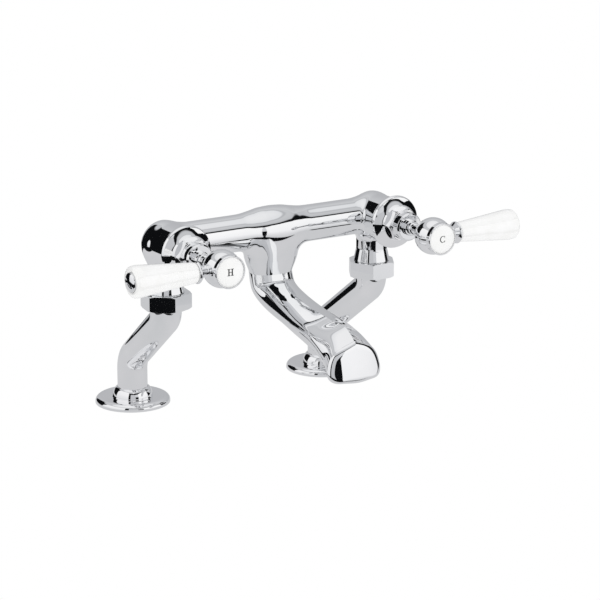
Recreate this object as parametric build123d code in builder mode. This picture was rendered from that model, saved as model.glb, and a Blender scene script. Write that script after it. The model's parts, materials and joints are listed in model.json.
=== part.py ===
from build123d import *
import os
from math import asin, atan2, cos, degrees, radians, sin, sqrt, tan

# Deck-mounted bath filler tap, in millimetres.
# The deck is z = 0, the origin lies midway between the two tails, +X runs to
# the cold side, the spout points along -Y and the legs lean back along +Y.

# The whole tap
union_spacing = 180.0
body_axis_height = 139.4
crank_reach = 64.6
crank_splay = 3.9

# Running and seating clearances, on the radius
thread_gap = 0.05
slide_gap = 0.05
swivel_gap = 0.08
seal_squeeze_gap = 0.03

# Mixer body, one hollow casting; a drop is measured down from the body's axis
tube_radius = 13.8
tube_bore = 9.0
middle_radius = 17.5
middle_reach = 28.0
end_flare_start = 70.0
end_radius = 17.2
end_cap_length = 18.5
neck_radius = 11.8
neck_drop = 19.4
cone_length = 8.5
cone_base_radius = 13.9
barrel_radius = 15.9
barrel_drop = 3.0
inlet_bore = 7.5
inlet_offset = 1.5
inlet_over_axis = 6.0
passage_radius = 4.5
passage_start = 72.0
socket_wall = 3.0
socket_depth = 12.0

# The boss under the middle of the body: drop, half width along X, half width along Y
boss_foot_drop = 33.1
boss_foot_radius = 17.0
boss_rings = [(26.9, 19.7, 17.2), (20.6, 21.4, 17.4), (14.4, 22.7, 17.5), (3.4, 27.5, 17.2)]

# Valve stations, measured forward from the body's axis
valve_boss_radius = 16.8
valve_boss_front = 26.0
chamber_radius = 10.0
chamber_floor = 9.0
seat_hole = 5.0

# Union nut, washer and the threaded end of the casting
union_thread_radius = 13.22
nut_drop = 36.4
union_nut_height = 12.0
nut_lip = 2.5
union_nut_across_flats = 33.2
nut_chamfer = 1.6
hot_nut_turn = 22.0
cold_nut_turn = 1.0
collar_room = 1.3
collar_height = 2.0
union_washer_height = 1.5
union_washer_bore = 8.7

# Cranked leg
leg_radius = 11.5
leg_bore = 8.5
spigot_radius = 10.0
upper_corner_below_nut = 7.5
lower_corner_height = 35.3
upper_bend_run = 6.5
lower_bend_run = 9.0
leg_socket_floor = 3.0

# Deck flange, threaded tail and the clamping pieces below the deck
flange_radius = 28.7
flange_edge_height = 1.4
flange_edge_chamfer = 0.4
flange_bead_height = 5.2
flange_bead_width = 4.2
flange_dish_height = 4.8
dome_wall = 4.1
dome_step = 1.9
dome_rise = 0.6
dome_height = 12.6
dome_lip = 0.8
tail_thread_radius = 13.22
tail_bore = 9.5
tail_length = 58.0
tail_chamfer = 1.0
relief_depth = 1.0
relief_width = 1.2
relief_below_nut = 3.0
gasket_room = 0.38
gasket_margin = 4.7
gasket_height = 1.5
deck_thickness = 20.0
back_washer_width = 9.2
back_washer_height = 2.0
back_nut_height = 9.0
back_nut_across_flats = 36.0

# Headwork inside each valve
seal_height = 1.5
seal_inner = 5.2
seal_outer = 7.2
disc_radius = 7.3
disc_height = 2.5
port_radius = 4.0
port_width = 3.0
port_angle = 70.0
disc_gap = 0.1
housing_skirt_wall = 1.1
housing_neck_radius = 8.3
skirt_length = 7.5
window_width = 6.0
window_depth = 4.0
spindle_radius = 4.5
spindle_flange_gap = 0.2
spline_step = 0.3
spline_end_room = 0.2
groove_radius = 3.3
groove_width = 1.7
ring_thickness = 0.6
o_ring_places = [24.0, 29.0]
circlip_radius = 5.6
circlip_groove = 3.7
circlip_height = 1.0

# Bonnet with its hexagon, and the gland nut in front of it
bonnet_rim_radius = 19.8
bonnet_flare_length = 3.5
bonnet_rim_length = 3.6
bonnet_bell_length = 4.9
bonnet_recess_radius = 13.0
bonnet_recess_depth = 5.0
bonnet_hex_radius = 13.0
bonnet_hex_length = 6.0
bonnet_hex_chamfer = 1.2
housing_in_gland = 6.0
gland_radius = 10.8
gland_length = 8.4
gland_lip_radius = 6.0
gland_lip_length = 3.6
gland_cavity = 6.2
gland_gap = 0.1

# Lever hub, index and retaining screw
neck_length = 14.2
hub_radius = 13.9
hub_back_length = 12.9
hub_front_length = 8.2
hub_bore_depth = 10.9
hub_web = 1.3
hub_recess_radius = 8.0
index_ring_length = 4.4
index_radius = 12.1
index_rim = 1.1
index_floor = 1.9
index_sink = 0.3
index_spigot_length = 3.3
index_spigot_wall = 1.2
screw_head_radius = 3.6
screw_head_height = 2.4
screw_radius = 2.0
screw_length = 11.0

# Lever, measured outward from the valve's axis
lever_behind_centre = 0.1
shank_radius = 3.0
shank_length = 3.0
shoulder_radius = 5.3
shoulder_sink = 1.4
waist_radius = 4.3
waist_reach = 2.2
lever_collar_radius = 8.2
collar_flare_length = 4.4
collar_length = 2.0
grip_inner_radius = 7.4
grip_outer_radius = 11.6
grip_taper_length = 45.7
grip_round_length = 5.5
grip_end_radius = 8.4
grip_bore = 3.2
cap_radius = 7.1
cap_sink = 1.0
tie_rod_in_cap = 0.4
cap_dome = 2.2
cap_slot_width = 1.4
cap_slot_depth = 1.2
cap_slot_angle = 60.0
cap_stem_length = 6.0
cap_stem_radius = 3.0
tie_rod_radius = 2.0
tie_rod_in_stem = 4.8

# Spout, measured forward from the body's axis
spout_wall = 3.0
spigot_wall = 3.0
nose_front = 121.4
nose_bulge = 5.5
nose_half_width = 23.4
nose_lean = 11.3
nose_middle_drop = 74.4
nose_floor_drop = 90.4
outlet_width = 30.0
outlet_depth = 14.0
outlet_behind_nose = 11.5
# forward, drop, tilt below level, half width, rise, fall, ridge, flatness of the floor
spout_stations = [
    (3.3, 42.6, 66.0, 17.4, 15.8, 15.8, 0.0, 0.0),
    (15.0, 48.9, 33.0, 17.1, 13.5, 13.9, 0.0, 0.0),
    (35.7, 53.4, 14.5, 17.3, 11.8, 13.2, 0.12, 0.0),
    (61.3, 57.0, 11.0, 18.2, 9.2, 15.6, 0.5, 0.0),
    (83.0, 59.0, 7.0, 18.9, 8.2, 18.4, 0.9, 0.1),
    (103.0, 64.4, -2.0, 19.4, 13.2, 19.0, 1.0, 0.35),
    (125.0, 81.8, -11.0, 27.6, 19.0, 8.2, 1.0, 1.0),
]

# Places that follow from the sizes above
half_centres = union_spacing / 2
crank_back = crank_reach * cos(radians(crank_splay))
crank_in = crank_reach * sin(radians(crank_splay))
body_y = -crank_back
tail_x = half_centres - crank_in
sides = {"hot": -1, "cold": 1}
forward = Vector(0, -1, 0)
upward = Vector(0, 0, 1)

neck_top = body_axis_height - neck_drop
cone_top = neck_top - cone_length
barrel_top = body_axis_height - barrel_drop
boss_foot_height = body_axis_height - boss_foot_drop
socket_radius = boss_foot_radius - socket_wall

nut_top = body_axis_height - nut_drop
nut_bottom = nut_top - union_nut_height
collar_radius = union_thread_radius - collar_room
union_washer_bottom = nut_bottom + nut_lip + collar_height
casting_foot = union_washer_bottom + union_washer_height
upper_corner_height = nut_bottom - upper_corner_below_nut
leg_rise = upper_corner_height - lower_corner_height
leg_bend = atan2(crank_reach, leg_rise)
upper_bend_radius = upper_bend_run / tan(leg_bend / 2)
lower_bend_radius = lower_bend_run / tan(leg_bend / 2)

dome_radius = leg_radius + dome_wall
flange_dish_radius = dome_radius + dome_step
relief_radius = tail_thread_radius - relief_depth
gasket_inner = tail_thread_radius + gasket_room
gasket_outer = flange_radius - gasket_margin
back_washer_bore = tail_thread_radius + slide_gap
back_washer_radius = back_washer_bore + back_washer_width
back_washer_bottom = -deck_thickness - back_washer_height
back_nut_bottom = back_washer_bottom - back_nut_height

disc_back = chamber_floor + seal_height
moving_disc_back = disc_back + disc_height
spindle_back = moving_disc_back + disc_height
skirt_front = disc_back + skirt_length
housing_bore = disc_radius + disc_gap
housing_skirt_radius = housing_bore + housing_skirt_wall
housing_thread_radius = chamber_radius - thread_gap
spindle_bore = spindle_radius + slide_gap
spindle_flange_radius = housing_bore - spindle_flange_gap
spline_radius = spindle_radius - spline_step

bonnet_rim_back = valve_boss_front + bonnet_flare_length
bonnet_rim_front = bonnet_rim_back + bonnet_rim_length
bonnet_hex_back = bonnet_rim_front + bonnet_bell_length
bonnet_hex_front = bonnet_hex_back + bonnet_hex_length
bonnet_bore = housing_neck_radius + slide_gap
housing_front = bonnet_hex_front + housing_in_gland
gland_front = bonnet_hex_front + gland_length
gland_lip_front = gland_front + gland_lip_length
gland_bore = spindle_radius + gland_gap

hub_back = gland_lip_front + neck_length
hub_centre = hub_back + hub_back_length
hub_front = hub_centre + hub_front_length
hub_bore_front = hub_back + hub_bore_depth
hub_web_front = hub_bore_front + hub_web
screw_tip = hub_web_front - screw_length
index_front = hub_front + index_ring_length
index_disc_radius = index_radius - index_rim
index_disc_back = hub_front + index_floor
index_disc_front = index_front - index_sink
index_spigot_back = hub_front - index_spigot_length

lever_station = hub_centre - lever_behind_centre
shoulder_start = hub_radius - shoulder_sink
shank_start = shoulder_start - shank_length
waist_place = shoulder_start + waist_reach
collar_place = waist_place + collar_flare_length
grip_start = collar_place + collar_length
grip_widest = grip_start + grip_taper_length
grip_end = grip_widest + grip_round_length
cap_seat = grip_end - cap_sink
tie_rod_start = grip_start - tie_rod_in_stem
tie_rod_end = cap_seat + tie_rod_in_cap

nose_middle = body_axis_height - nose_middle_drop
nose_floor = body_axis_height - nose_floor_drop
nose_radius = (nose_half_width ** 2 + nose_bulge ** 2) / (2 * nose_bulge)
outlet_centre = nose_front - outlet_behind_nose


def profile_plane(origin, along):
    """Plane of a turned profile: local X is the radius, local Y runs along the axis."""
    radial = upward if abs(along.Y) > 0.5 else Vector(0, 1, 0)
    return Plane(origin=origin, x_dir=radial, z_dir=radial.cross(along))


def union_point(side, height):
    return Vector(side * half_centres, body_y, height)


def tail_point(side, height):
    return Vector(side * tail_x, 0, height)


def valve_plane(side, station):
    """Plane across a valve, looking forward, with local X along the body."""
    return Plane(
        origin=(side * half_centres, body_y - station, body_axis_height),
        x_dir=(1, 0, 0),
        z_dir=(0, -1, 0),
    )


def lever_plane(side, distance):
    """Plane across a lever, looking outward."""
    return Plane(
        origin=(side * (half_centres + distance), body_y - lever_station, body_axis_height),
        x_dir=(0, side, 0),
        z_dir=(side, 0, 0),
    )


def hex_radius(across_flats):
    return across_flats / 2 / cos(radians(30))


def make_ring(plane, inner, outer, height):
    """A plain ring that starts on a plane and rises along its normal."""
    with BuildPart() as ring:
        with BuildSketch(plane):
            Circle(outer)
            Circle(inner, mode=Mode.SUBTRACT)
        extrude(amount=height)
    return ring.part


def make_nut(plane, across_flats, height, bore, turn, chamfer_width):
    """A hexagon nut with turned corners at both ends."""
    corner = hex_radius(across_flats)
    with BuildPart() as nut:
        with BuildSketch(plane):
            RegularPolygon(corner, 6, rotation=turn)
            Circle(bore, mode=Mode.SUBTRACT)
        extrude(amount=height)
        with BuildSketch(profile_plane(plane.origin, plane.z_dir)):
            Polygon(
                (0, 0),
                (corner - chamfer_width, 0),
                (corner, chamfer_width * tan(radians(30))),
                (corner, height - chamfer_width * tan(radians(30))),
                (corner - chamfer_width, height),
                (0, height),
                align=None,
            )
        revolve(axis=Axis(plane.origin, plane.z_dir), mode=Mode.INTERSECT)
    return nut.part


def make_half_tube(side):
    """Half of the long turned form: bulge in the middle, waist, and a swelling dome at the end."""
    cap_end = half_centres + end_cap_length
    flare_middle = (end_flare_start + half_centres) / 2
    centre = Vector(0, body_y, body_axis_height)
    outward = Vector(side, 0, 0)
    with BuildPart() as half_tube:
        with BuildSketch(profile_plane(centre, outward)):
            with BuildLine():
                Line((0, 0), (middle_radius, 0))
                Spline(
                    (middle_radius, 0),
                    ((middle_radius * 0.8 + tube_radius * 0.2), middle_reach * 0.32),
                    ((middle_radius * 0.34 + tube_radius * 0.66), middle_reach * 0.64),
                    (tube_radius, middle_reach),
                    tangents=[(0, 1), (0, 1)],
                )
                Line((tube_radius, middle_reach), (tube_radius, end_flare_start))
                Spline(
                    (tube_radius, end_flare_start),
                    (tube_radius * 0.62 + end_radius * 0.38, flare_middle),
                    (end_radius, half_centres),
                    tangents=[(0, 1), (0, 1)],
                )
                Spline(
                    (end_radius, half_centres),
                    (end_radius * cos(radians(30)), half_centres + end_cap_length * sin(radians(30))),
                    (end_radius * cos(radians(60)), half_centres + end_cap_length * sin(radians(60))),
                    (0, cap_end),
                    tangents=[(0, 1), (-1, 0)],
                )
                Line((0, cap_end), (0, 0))
            make_face()
        revolve(axis=Axis(centre, outward))
    return half_tube.part


def make_end_barrel(side):
    """Upright barrel of one end: union thread, cone, neck and the flare up to the tube."""
    foot = union_point(side, 0)
    with BuildPart() as barrel:
        with BuildSketch(profile_plane(foot, upward)):
            with BuildLine():
                Polyline(
                    (0, barrel_top),
                    (0, casting_foot),
                    (union_thread_radius - thread_gap, casting_foot),
                    (union_thread_radius - thread_gap, nut_top),
                    (cone_base_radius, nut_top),
                    (neck_radius, cone_top),
                    (neck_radius, neck_top),
                )
                Spline(
                    (neck_radius, neck_top),
                    (neck_radius * 0.44 + barrel_radius * 0.56, neck_top * 0.66 + barrel_top * 0.34),
                    (barrel_radius, barrel_top),
                    tangents=[(0.35, 1), (0.05, 1)],
                )
                Line((barrel_radius, barrel_top), (0, barrel_top))
            make_face()
        revolve(axis=Axis(foot, upward))
        with BuildSketch(valve_plane(side, 0)):
            Circle(valve_boss_radius)
        extrude(amount=valve_boss_front)
    return barrel.part


def make_spout_boss():
    """Boss under the middle of the body: round at its foot, flared along the tube above."""
    centre = (0, body_y)
    with BuildPart() as boss:
        with BuildSketch(Plane.XY.offset(boss_foot_height)):
            with Locations(centre):
                Circle(boss_foot_radius)
        for drop, along, across in boss_rings:
            with BuildSketch(Plane.XY.offset(body_axis_height - drop)):
                with Locations(centre):
                    Ellipse(along, across)
        loft()
    return boss.part


def make_mixer_body():
    """One casting: tube, end barrels, valve bosses and spout boss, with its waterways."""
    with BuildPart() as mixer_body:
        for side in sides.values():
            add(make_half_tube(side))
            add(make_end_barrel(side))
        add(make_spout_boss())
        with BuildSketch(Plane.YZ.offset(-passage_start)):
            with Locations((body_y, body_axis_height)):
                Circle(tube_bore)
        extrude(amount=2 * passage_start, mode=Mode.SUBTRACT)
        with BuildSketch(Plane.XY.offset(boss_foot_height)):
            with Locations((0, body_y)):
                Circle(socket_radius)
        extrude(amount=socket_depth, mode=Mode.SUBTRACT)
        with BuildSketch(Plane.XY.offset(boss_foot_height)):
            with Locations((0, body_y)):
                Circle(socket_radius - spigot_wall)
        extrude(amount=body_axis_height - boss_foot_height, mode=Mode.SUBTRACT)
        for side in sides.values():
            with BuildSketch(Plane.XY.offset(casting_foot)):
                with Locations((side * half_centres, body_y + inlet_offset)):
                    Circle(inlet_bore)
            extrude(amount=body_axis_height + inlet_over_axis - casting_foot, mode=Mode.SUBTRACT)
            with BuildSketch(valve_plane(side, chamber_floor)):
                Circle(chamber_radius)
            extrude(amount=valve_boss_front, mode=Mode.SUBTRACT)
            with BuildSketch(valve_plane(side, 0)):
                Circle(seat_hole)
            extrude(amount=chamber_floor, mode=Mode.SUBTRACT)
            start = Vector(side * passage_start, body_y, body_axis_height)
            end = Vector(side * (half_centres - chamber_radius), body_y - spindle_back, body_axis_height)
            with BuildSketch(Plane(origin=start, z_dir=end - start)):
                Circle(passage_radius)
            extrude(amount=(end - start).length, mode=Mode.SUBTRACT)
    return mixer_body.part


def section_points(half_width, rise, fall, ridge, floor):
    """Right half of a spout section, from its ridge round the side to its lowest point."""
    return [
        (0, rise),
        (half_width * (0.70 - 0.07 * ridge), rise * (0.71 - 0.18 * ridge)),
        (half_width, -fall * 0.42 * floor),
        (half_width * (0.924 + 0.061 * floor), -fall * (0.383 + 0.38 * floor)),
        (half_width * (0.707 + 0.19 * floor), -fall * (0.707 + 0.20 * floor)),
        (0, -fall),
    ]


def spout_section(plane, half_width, rise, fall, ridge, floor):
    """One closed section: two mirrored half outlines that meet at the ridge."""
    with BuildSketch(plane) as section:
        with BuildLine():
            for hand in (1, -1):
                half = section_points(half_width, rise, fall, ridge, floor)
                Spline(
                    *[(hand * x, y) for x, y in half],
                    tangents=[(hand, -0.42 * ridge), (-hand, 0)],
                )
        make_face()
    return section.sketch


def station_plane(reach, height, tilt):
    """Plane across the spout's flow, with local Y up and local X to the cold side."""
    flow = Vector(0, -cos(radians(tilt)), -sin(radians(tilt)))
    return Plane(origin=(0, body_y - reach, height), x_dir=(1, 0, 0), z_dir=flow)


def make_spout_form(inset):
    """Loft of the spout; the inset gives the wall for the hollow inside."""
    root_radius = boss_foot_radius - inset
    root_plane = station_plane(0, boss_foot_height, 90)
    sections = [spout_section(root_plane, root_radius, root_radius, root_radius, 0, 0)]
    for reach, drop, tilt, half_width, rise, fall, ridge, floor in spout_stations:
        plane = station_plane(reach, body_axis_height - drop, tilt)
        sections.append(spout_section(plane, half_width - inset, rise - inset, fall - inset, ridge, floor))
    with BuildPart() as form:
        loft(sections)
    return form.part


def make_nose_cutter(front):
    """Everything in front of the gently rounded nose, which leans back."""
    lean = radians(nose_lean)
    depth = 6 * nose_bulge
    face_plane = Plane(
        origin=(0, body_y - front, nose_middle),
        x_dir=(1, 0, 0),
        z_dir=(0, sin(lean), cos(lean)),
    )
    with BuildPart() as cutter:
        with BuildSketch(face_plane):
            with Locations((0, 2 * nose_bulge - depth / 2)):
                Rectangle(4 * nose_half_width, depth)
            with Locations((0, nose_radius)):
                Circle(nose_radius, mode=Mode.SUBTRACT)
        extrude(amount=nose_middle, both=True)
    return cutter.part


def make_spout_shell(inset):
    """Spout form closed by its nose, solid; the inset makes the core of the hollow."""
    with BuildPart() as shell:
        add(make_spout_form(inset))
        add(make_nose_cutter(nose_front - inset), mode=Mode.SUBTRACT)
    return shell.part


def make_spout():
    """Hollow spout with a ridged back, a rounded upright nose and its outlet underneath."""
    with BuildPart() as spout:
        add(make_spout_shell(0))
        add(make_spout_shell(spout_wall), mode=Mode.SUBTRACT)
        with BuildSketch(Plane.XY.offset(boss_foot_height)):
            with Locations((0, body_y)):
                Circle(socket_radius - slide_gap)
                Circle(socket_radius - spigot_wall, mode=Mode.SUBTRACT)
        extrude(amount=socket_depth)
        with BuildSketch(Plane.XY.offset(nose_floor - spout_wall)):
            with Locations((0, body_y - outlet_centre)):
                Ellipse(outlet_width / 2, outlet_depth / 2)
        extrude(amount=nose_middle - nose_floor, mode=Mode.SUBTRACT)
    return spout.part


def sweep_leg(side, top, radius):
    """Solid round bar along the leg's route: down, back, and down again."""
    with BuildPart() as bar:
        with BuildLine() as route:
            FilletPolyline(
                union_point(side, top),
                union_point(side, upper_corner_height),
                tail_point(side, lower_corner_height),
                tail_point(side, leg_socket_floor),
                radius=[upper_bend_radius, lower_bend_radius],
            )
        with BuildSketch(Plane(origin=union_point(side, top), z_dir=(0, 0, -1))):
            Circle(radius)
        sweep(path=route.wire())
    return bar.part


def make_leg_tube(side):
    """Tube bent back and then down, with a turned spigot and collar inside the union nut."""
    top = nut_bottom - swivel_gap
    collar_bottom = union_washer_bottom - collar_height
    with BuildPart() as leg_tube:
        add(sweep_leg(side, top, leg_radius))
        with BuildSketch(Plane(origin=union_point(side, top))):
            Circle(spigot_radius)
        extrude(amount=collar_bottom - top)
        with BuildSketch(Plane(origin=union_point(side, collar_bottom))):
            Circle(collar_radius)
        extrude(amount=collar_height)
        add(sweep_leg(side, union_washer_bottom, leg_bore), mode=Mode.SUBTRACT)
    return leg_tube.part


def make_deck_foot(side):
    """Domed deck flange in one piece with its threaded tail."""
    relief_top = back_nut_bottom - relief_below_nut
    relief_bottom = relief_top - relief_width
    bead_radius = flange_radius - flange_bead_width
    dome_base = flange_dish_height + dome_rise
    foot = tail_point(side, 0)
    with BuildPart() as deck_foot:
        with BuildSketch(profile_plane(foot, upward)):
            with BuildLine():
                Polyline(
                    (leg_radius + slide_gap, dome_height),
                    (leg_radius + slide_gap, leg_socket_floor),
                    (tail_bore, leg_socket_floor),
                    (tail_bore, -tail_length),
                    (tail_thread_radius - tail_chamfer, -tail_length),
                    (tail_thread_radius, -tail_length + tail_chamfer),
                    (tail_thread_radius, relief_bottom),
                    (relief_radius, relief_bottom),
                    (relief_radius, relief_top),
                    (tail_thread_radius, relief_top),
                    (tail_thread_radius, 0),
                    (gasket_inner - slide_gap, 0),
                    (gasket_inner - slide_gap, gasket_height),
                    (gasket_outer, gasket_height),
                    (gasket_outer, 0),
                    (flange_radius - flange_edge_chamfer, 0),
                    (flange_radius, flange_edge_chamfer),
                    (flange_radius, flange_edge_height),
                )
                Spline(
                    (flange_radius, flange_edge_height),
                    (
                        bead_radius + flange_bead_width * sin(radians(50)),
                        flange_edge_height + (flange_bead_height - flange_edge_height) * cos(radians(50)),
                    ),
                    (bead_radius, flange_bead_height),
                    tangents=[(0, 1), (-1, 0)],
                )
                Spline(
                    (bead_radius, flange_bead_height),
                    (flange_dish_radius, flange_dish_height),
                    tangents=[(-1, 0), (-1, 0)],
                )
                Line((flange_dish_radius, flange_dish_height), (dome_radius, dome_base))
                Spline(
                    (dome_radius, dome_base),
                    (dome_radius - 0.9, (dome_base + dome_height) / 2),
                    (leg_radius + dome_lip, dome_height),
                    tangents=[(0, 1), (-1, 0.25)],
                )
                Line((leg_radius + dome_lip, dome_height), (leg_radius + slide_gap, dome_height))
            make_face()
        revolve(axis=Axis(foot, upward))
    return deck_foot.part


def make_bonnet(side):
    """Bell-shaped cover with a hexagon, screwed down on the valve boss."""
    origin = valve_plane(side, 0).origin
    with BuildPart() as bonnet:
        with BuildSketch(profile_plane(origin, forward)):
            with BuildLine():
                Polyline(
                    (bonnet_hex_radius - 0.6, bonnet_hex_back),
                    (bonnet_bore, bonnet_hex_back),
                    (bonnet_bore, valve_boss_front + bonnet_recess_depth),
                    (bonnet_recess_radius, valve_boss_front + bonnet_recess_depth),
                    (bonnet_recess_radius, valve_boss_front),
                    (valve_boss_radius, valve_boss_front),
                    (bonnet_rim_radius, bonnet_rim_back),
                )
                ThreePointArc(
                    (bonnet_rim_radius, bonnet_rim_back),
                    (bonnet_rim_radius + 0.5, (bonnet_rim_back + bonnet_rim_front) / 2),
                    (bonnet_rim_radius - 0.3, bonnet_rim_front),
                )
                Spline(
                    (bonnet_rim_radius - 0.3, bonnet_rim_front),
                    (
                        bonnet_rim_radius * 0.45 + bonnet_hex_radius * 0.55,
                        bonnet_rim_front * 0.66 + bonnet_hex_back * 0.34,
                    ),
                    (bonnet_hex_radius - 0.6, bonnet_hex_back),
                    tangents=[(-0.6, 0.8), (-0.25, 1)],
                )
            make_face()
        revolve(axis=Axis(origin, forward))
        with BuildSketch(valve_plane(side, bonnet_hex_back)):
            RegularPolygon(bonnet_hex_radius, 6)
            Circle(bonnet_bore, mode=Mode.SUBTRACT)
        extrude(amount=bonnet_hex_front - bonnet_hex_back)
        with BuildSketch(profile_plane(origin, forward)):
            Polygon(
                (bonnet_hex_radius - bonnet_hex_chamfer, bonnet_hex_front),
                (bonnet_hex_radius + bonnet_hex_chamfer, bonnet_hex_front),
                (
                    bonnet_hex_radius + bonnet_hex_chamfer,
                    bonnet_hex_front - 2 * bonnet_hex_chamfer * tan(radians(30)),
                ),
                align=None,
            )
        revolve(axis=Axis(origin, forward), mode=Mode.SUBTRACT)
    return bonnet.part


def make_gland_nut(side):
    """Ring in front of the bonnet that closes the headwork round the spindle."""
    origin = valve_plane(side, 0).origin
    circlip_room = housing_front + circlip_height + 0.8
    with BuildPart() as gland_nut:
        with BuildSketch(profile_plane(origin, forward)):
            Polygon(
                (bonnet_bore, bonnet_hex_front),
                (gland_radius - 0.5, bonnet_hex_front),
                (gland_radius, bonnet_hex_front + 0.5),
                (gland_radius, gland_front - 1.2),
                (gland_radius - 1.2, gland_front),
                (gland_lip_radius, gland_front),
                (gland_lip_radius, gland_lip_front - 0.8),
                (gland_lip_radius - 0.8, gland_lip_front),
                (gland_bore, gland_lip_front),
                (gland_bore, circlip_room),
                (gland_cavity, circlip_room),
                (gland_cavity, housing_front),
                (bonnet_bore, housing_front),
                align=None,
            )
        revolve(axis=Axis(origin, forward))
    return gland_nut.part


def make_cartridge_housing(side):
    """Headwork body: skirt round the discs with two windows, thread, and a long neck."""
    origin = valve_plane(side, 0).origin
    with BuildPart() as housing:
        with BuildSketch(profile_plane(origin, forward)):
            Polygon(
                (housing_bore, disc_back),
                (housing_skirt_radius, disc_back),
                (housing_skirt_radius, skirt_front),
                (housing_thread_radius, skirt_front),
                (housing_thread_radius, valve_boss_front),
                (housing_neck_radius, valve_boss_front),
                (housing_neck_radius, housing_front),
                (spindle_bore, housing_front),
                (spindle_bore, skirt_front + 0.5),
                (housing_bore, skirt_front + 0.5),
                align=None,
            )
        revolve(axis=Axis(origin, forward))
        with BuildSketch(valve_plane(side, moving_disc_back)):
            with PolarLocations(housing_skirt_radius, 2):
                Rectangle(window_depth, window_width)
        extrude(amount=disc_height, mode=Mode.SUBTRACT)
    return housing.part


def make_disc(plane, first_port):
    """Ceramic disc with two curved ports."""
    with BuildPart() as disc:
        with BuildSketch(plane):
            Circle(disc_radius)
            for turn in (0, 180):
                with BuildLine(mode=Mode.PRIVATE) as port_middle:
                    CenterArc((0, 0), port_radius, first_port + turn - port_angle / 2, port_angle)
                SlotArc(port_middle.edge(), port_width, mode=Mode.SUBTRACT)
        extrude(amount=disc_height)
    return disc.part


def make_spindle(side):
    """Spindle: drive flange, two O-ring grooves, circlip groove and the splined end."""
    origin = valve_plane(side, 0).origin
    with BuildPart() as spindle:
        with BuildSketch(profile_plane(origin, forward)):
            Polygon(
                (0, spindle_back),
                (spindle_flange_radius, spindle_back),
                (spindle_flange_radius, skirt_front + 0.4),
                (spindle_radius, skirt_front + 0.4),
                (spindle_radius, hub_back),
                (spline_radius, hub_back),
                (spline_radius, hub_bore_front - spline_end_room),
                (screw_radius + thread_gap, hub_bore_front - spline_end_room),
                (screw_radius + thread_gap, screw_tip - 1),
                (0, screw_tip - 1),
                align=None,
            )
            for place in o_ring_places:
                with Locations(((spindle_radius + groove_radius) / 2 + 0.5, place)):
                    Rectangle(spindle_radius - groove_radius + 1, groove_width, mode=Mode.SUBTRACT)
            with Locations(((spindle_radius + circlip_groove) / 2 + 0.5, housing_front + circlip_height)):
                Rectangle(
                    spindle_radius - circlip_groove + 1,
                    circlip_height + 0.1,
                    mode=Mode.SUBTRACT,
                )
        revolve(axis=Axis(origin, forward))
    return spindle.part


def make_o_rings(side):
    """The two O-rings that seal the spindle in the housing."""
    middle = spindle_bore - seal_squeeze_gap - ring_thickness
    with BuildPart() as o_rings:
        for place in o_ring_places:
            origin = valve_plane(side, place).origin
            with BuildSketch(profile_plane(origin, forward)):
                with Locations((middle, 0)):
                    Circle(ring_thickness)
            revolve(axis=Axis(origin, forward))
    return o_rings.part


def make_circlip(side):
    """Open spring clip in the spindle's groove, in front of the housing."""
    plane = valve_plane(side, housing_front + circlip_height / 2)
    with BuildPart() as circlip:
        with BuildSketch(plane):
            Circle(circlip_radius)
            Circle(circlip_groove + slide_gap, mode=Mode.SUBTRACT)
            with Locations((0, circlip_radius)):
                Rectangle(circlip_groove, circlip_radius, mode=Mode.SUBTRACT)
        extrude(amount=circlip_height)
    return circlip.part


def make_lever_hub(side):
    """Ball-shaped hub with its splined bore, screw recess and the seat for the lever."""
    back = hub_centre - hub_back
    front = hub_front - hub_centre
    back_radius = sqrt(hub_radius ** 2 - back ** 2)
    front_radius = sqrt(hub_radius ** 2 - front ** 2)
    back_angle = degrees(asin(back / hub_radius))
    front_angle = degrees(asin(front / hub_radius))
    centre_plane = valve_plane(side, hub_centre)
    with BuildPart() as lever_hub:
        with BuildSketch(profile_plane(centre_plane.origin, forward)):
            with BuildLine():
                CenterArc((0, 0), hub_radius, -back_angle, back_angle + front_angle)
                Polyline(
                    (front_radius, front),
                    (hub_recess_radius, front),
                    (hub_recess_radius, hub_web_front - hub_centre),
                    (screw_radius + thread_gap, hub_web_front - hub_centre),
                    (screw_radius + thread_gap, hub_bore_front - hub_centre),
                    (spline_radius + slide_gap, hub_bore_front - hub_centre),
                    (spline_radius + slide_gap, -back),
                    (back_radius, -back),
                )
            make_face()
        revolve(axis=Axis(centre_plane.origin, forward))
        with BuildSketch(lever_plane(side, shoulder_start)):
            Circle(shoulder_radius + slide_gap)
        extrude(amount=hub_radius, mode=Mode.SUBTRACT)
        with BuildSketch(lever_plane(side, hub_recess_radius)):
            Circle(shank_radius + thread_gap)
        extrude(amount=shoulder_start - hub_recess_radius, mode=Mode.SUBTRACT)
    return lever_hub.part


def make_index_ring(side):
    """Bezel on the front of the hub, held in its recess by a short spigot."""
    origin = valve_plane(side, 0).origin
    spigot = hub_recess_radius - slide_gap
    with BuildPart() as index_ring:
        with BuildSketch(profile_plane(origin, forward)):
            Polygon(
                (spigot - index_spigot_wall, index_spigot_back),
                (spigot, index_spigot_back),
                (spigot, hub_front),
                (index_radius, hub_front),
                (index_radius, index_front - 0.5),
                (index_radius - 0.4, index_front),
                (index_disc_radius + slide_gap, index_front),
                (index_disc_radius + slide_gap, index_disc_back),
                (spigot - index_spigot_wall, index_disc_back),
                align=None,
            )
        revolve(axis=Axis(origin, forward))
    return index_ring.part


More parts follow.
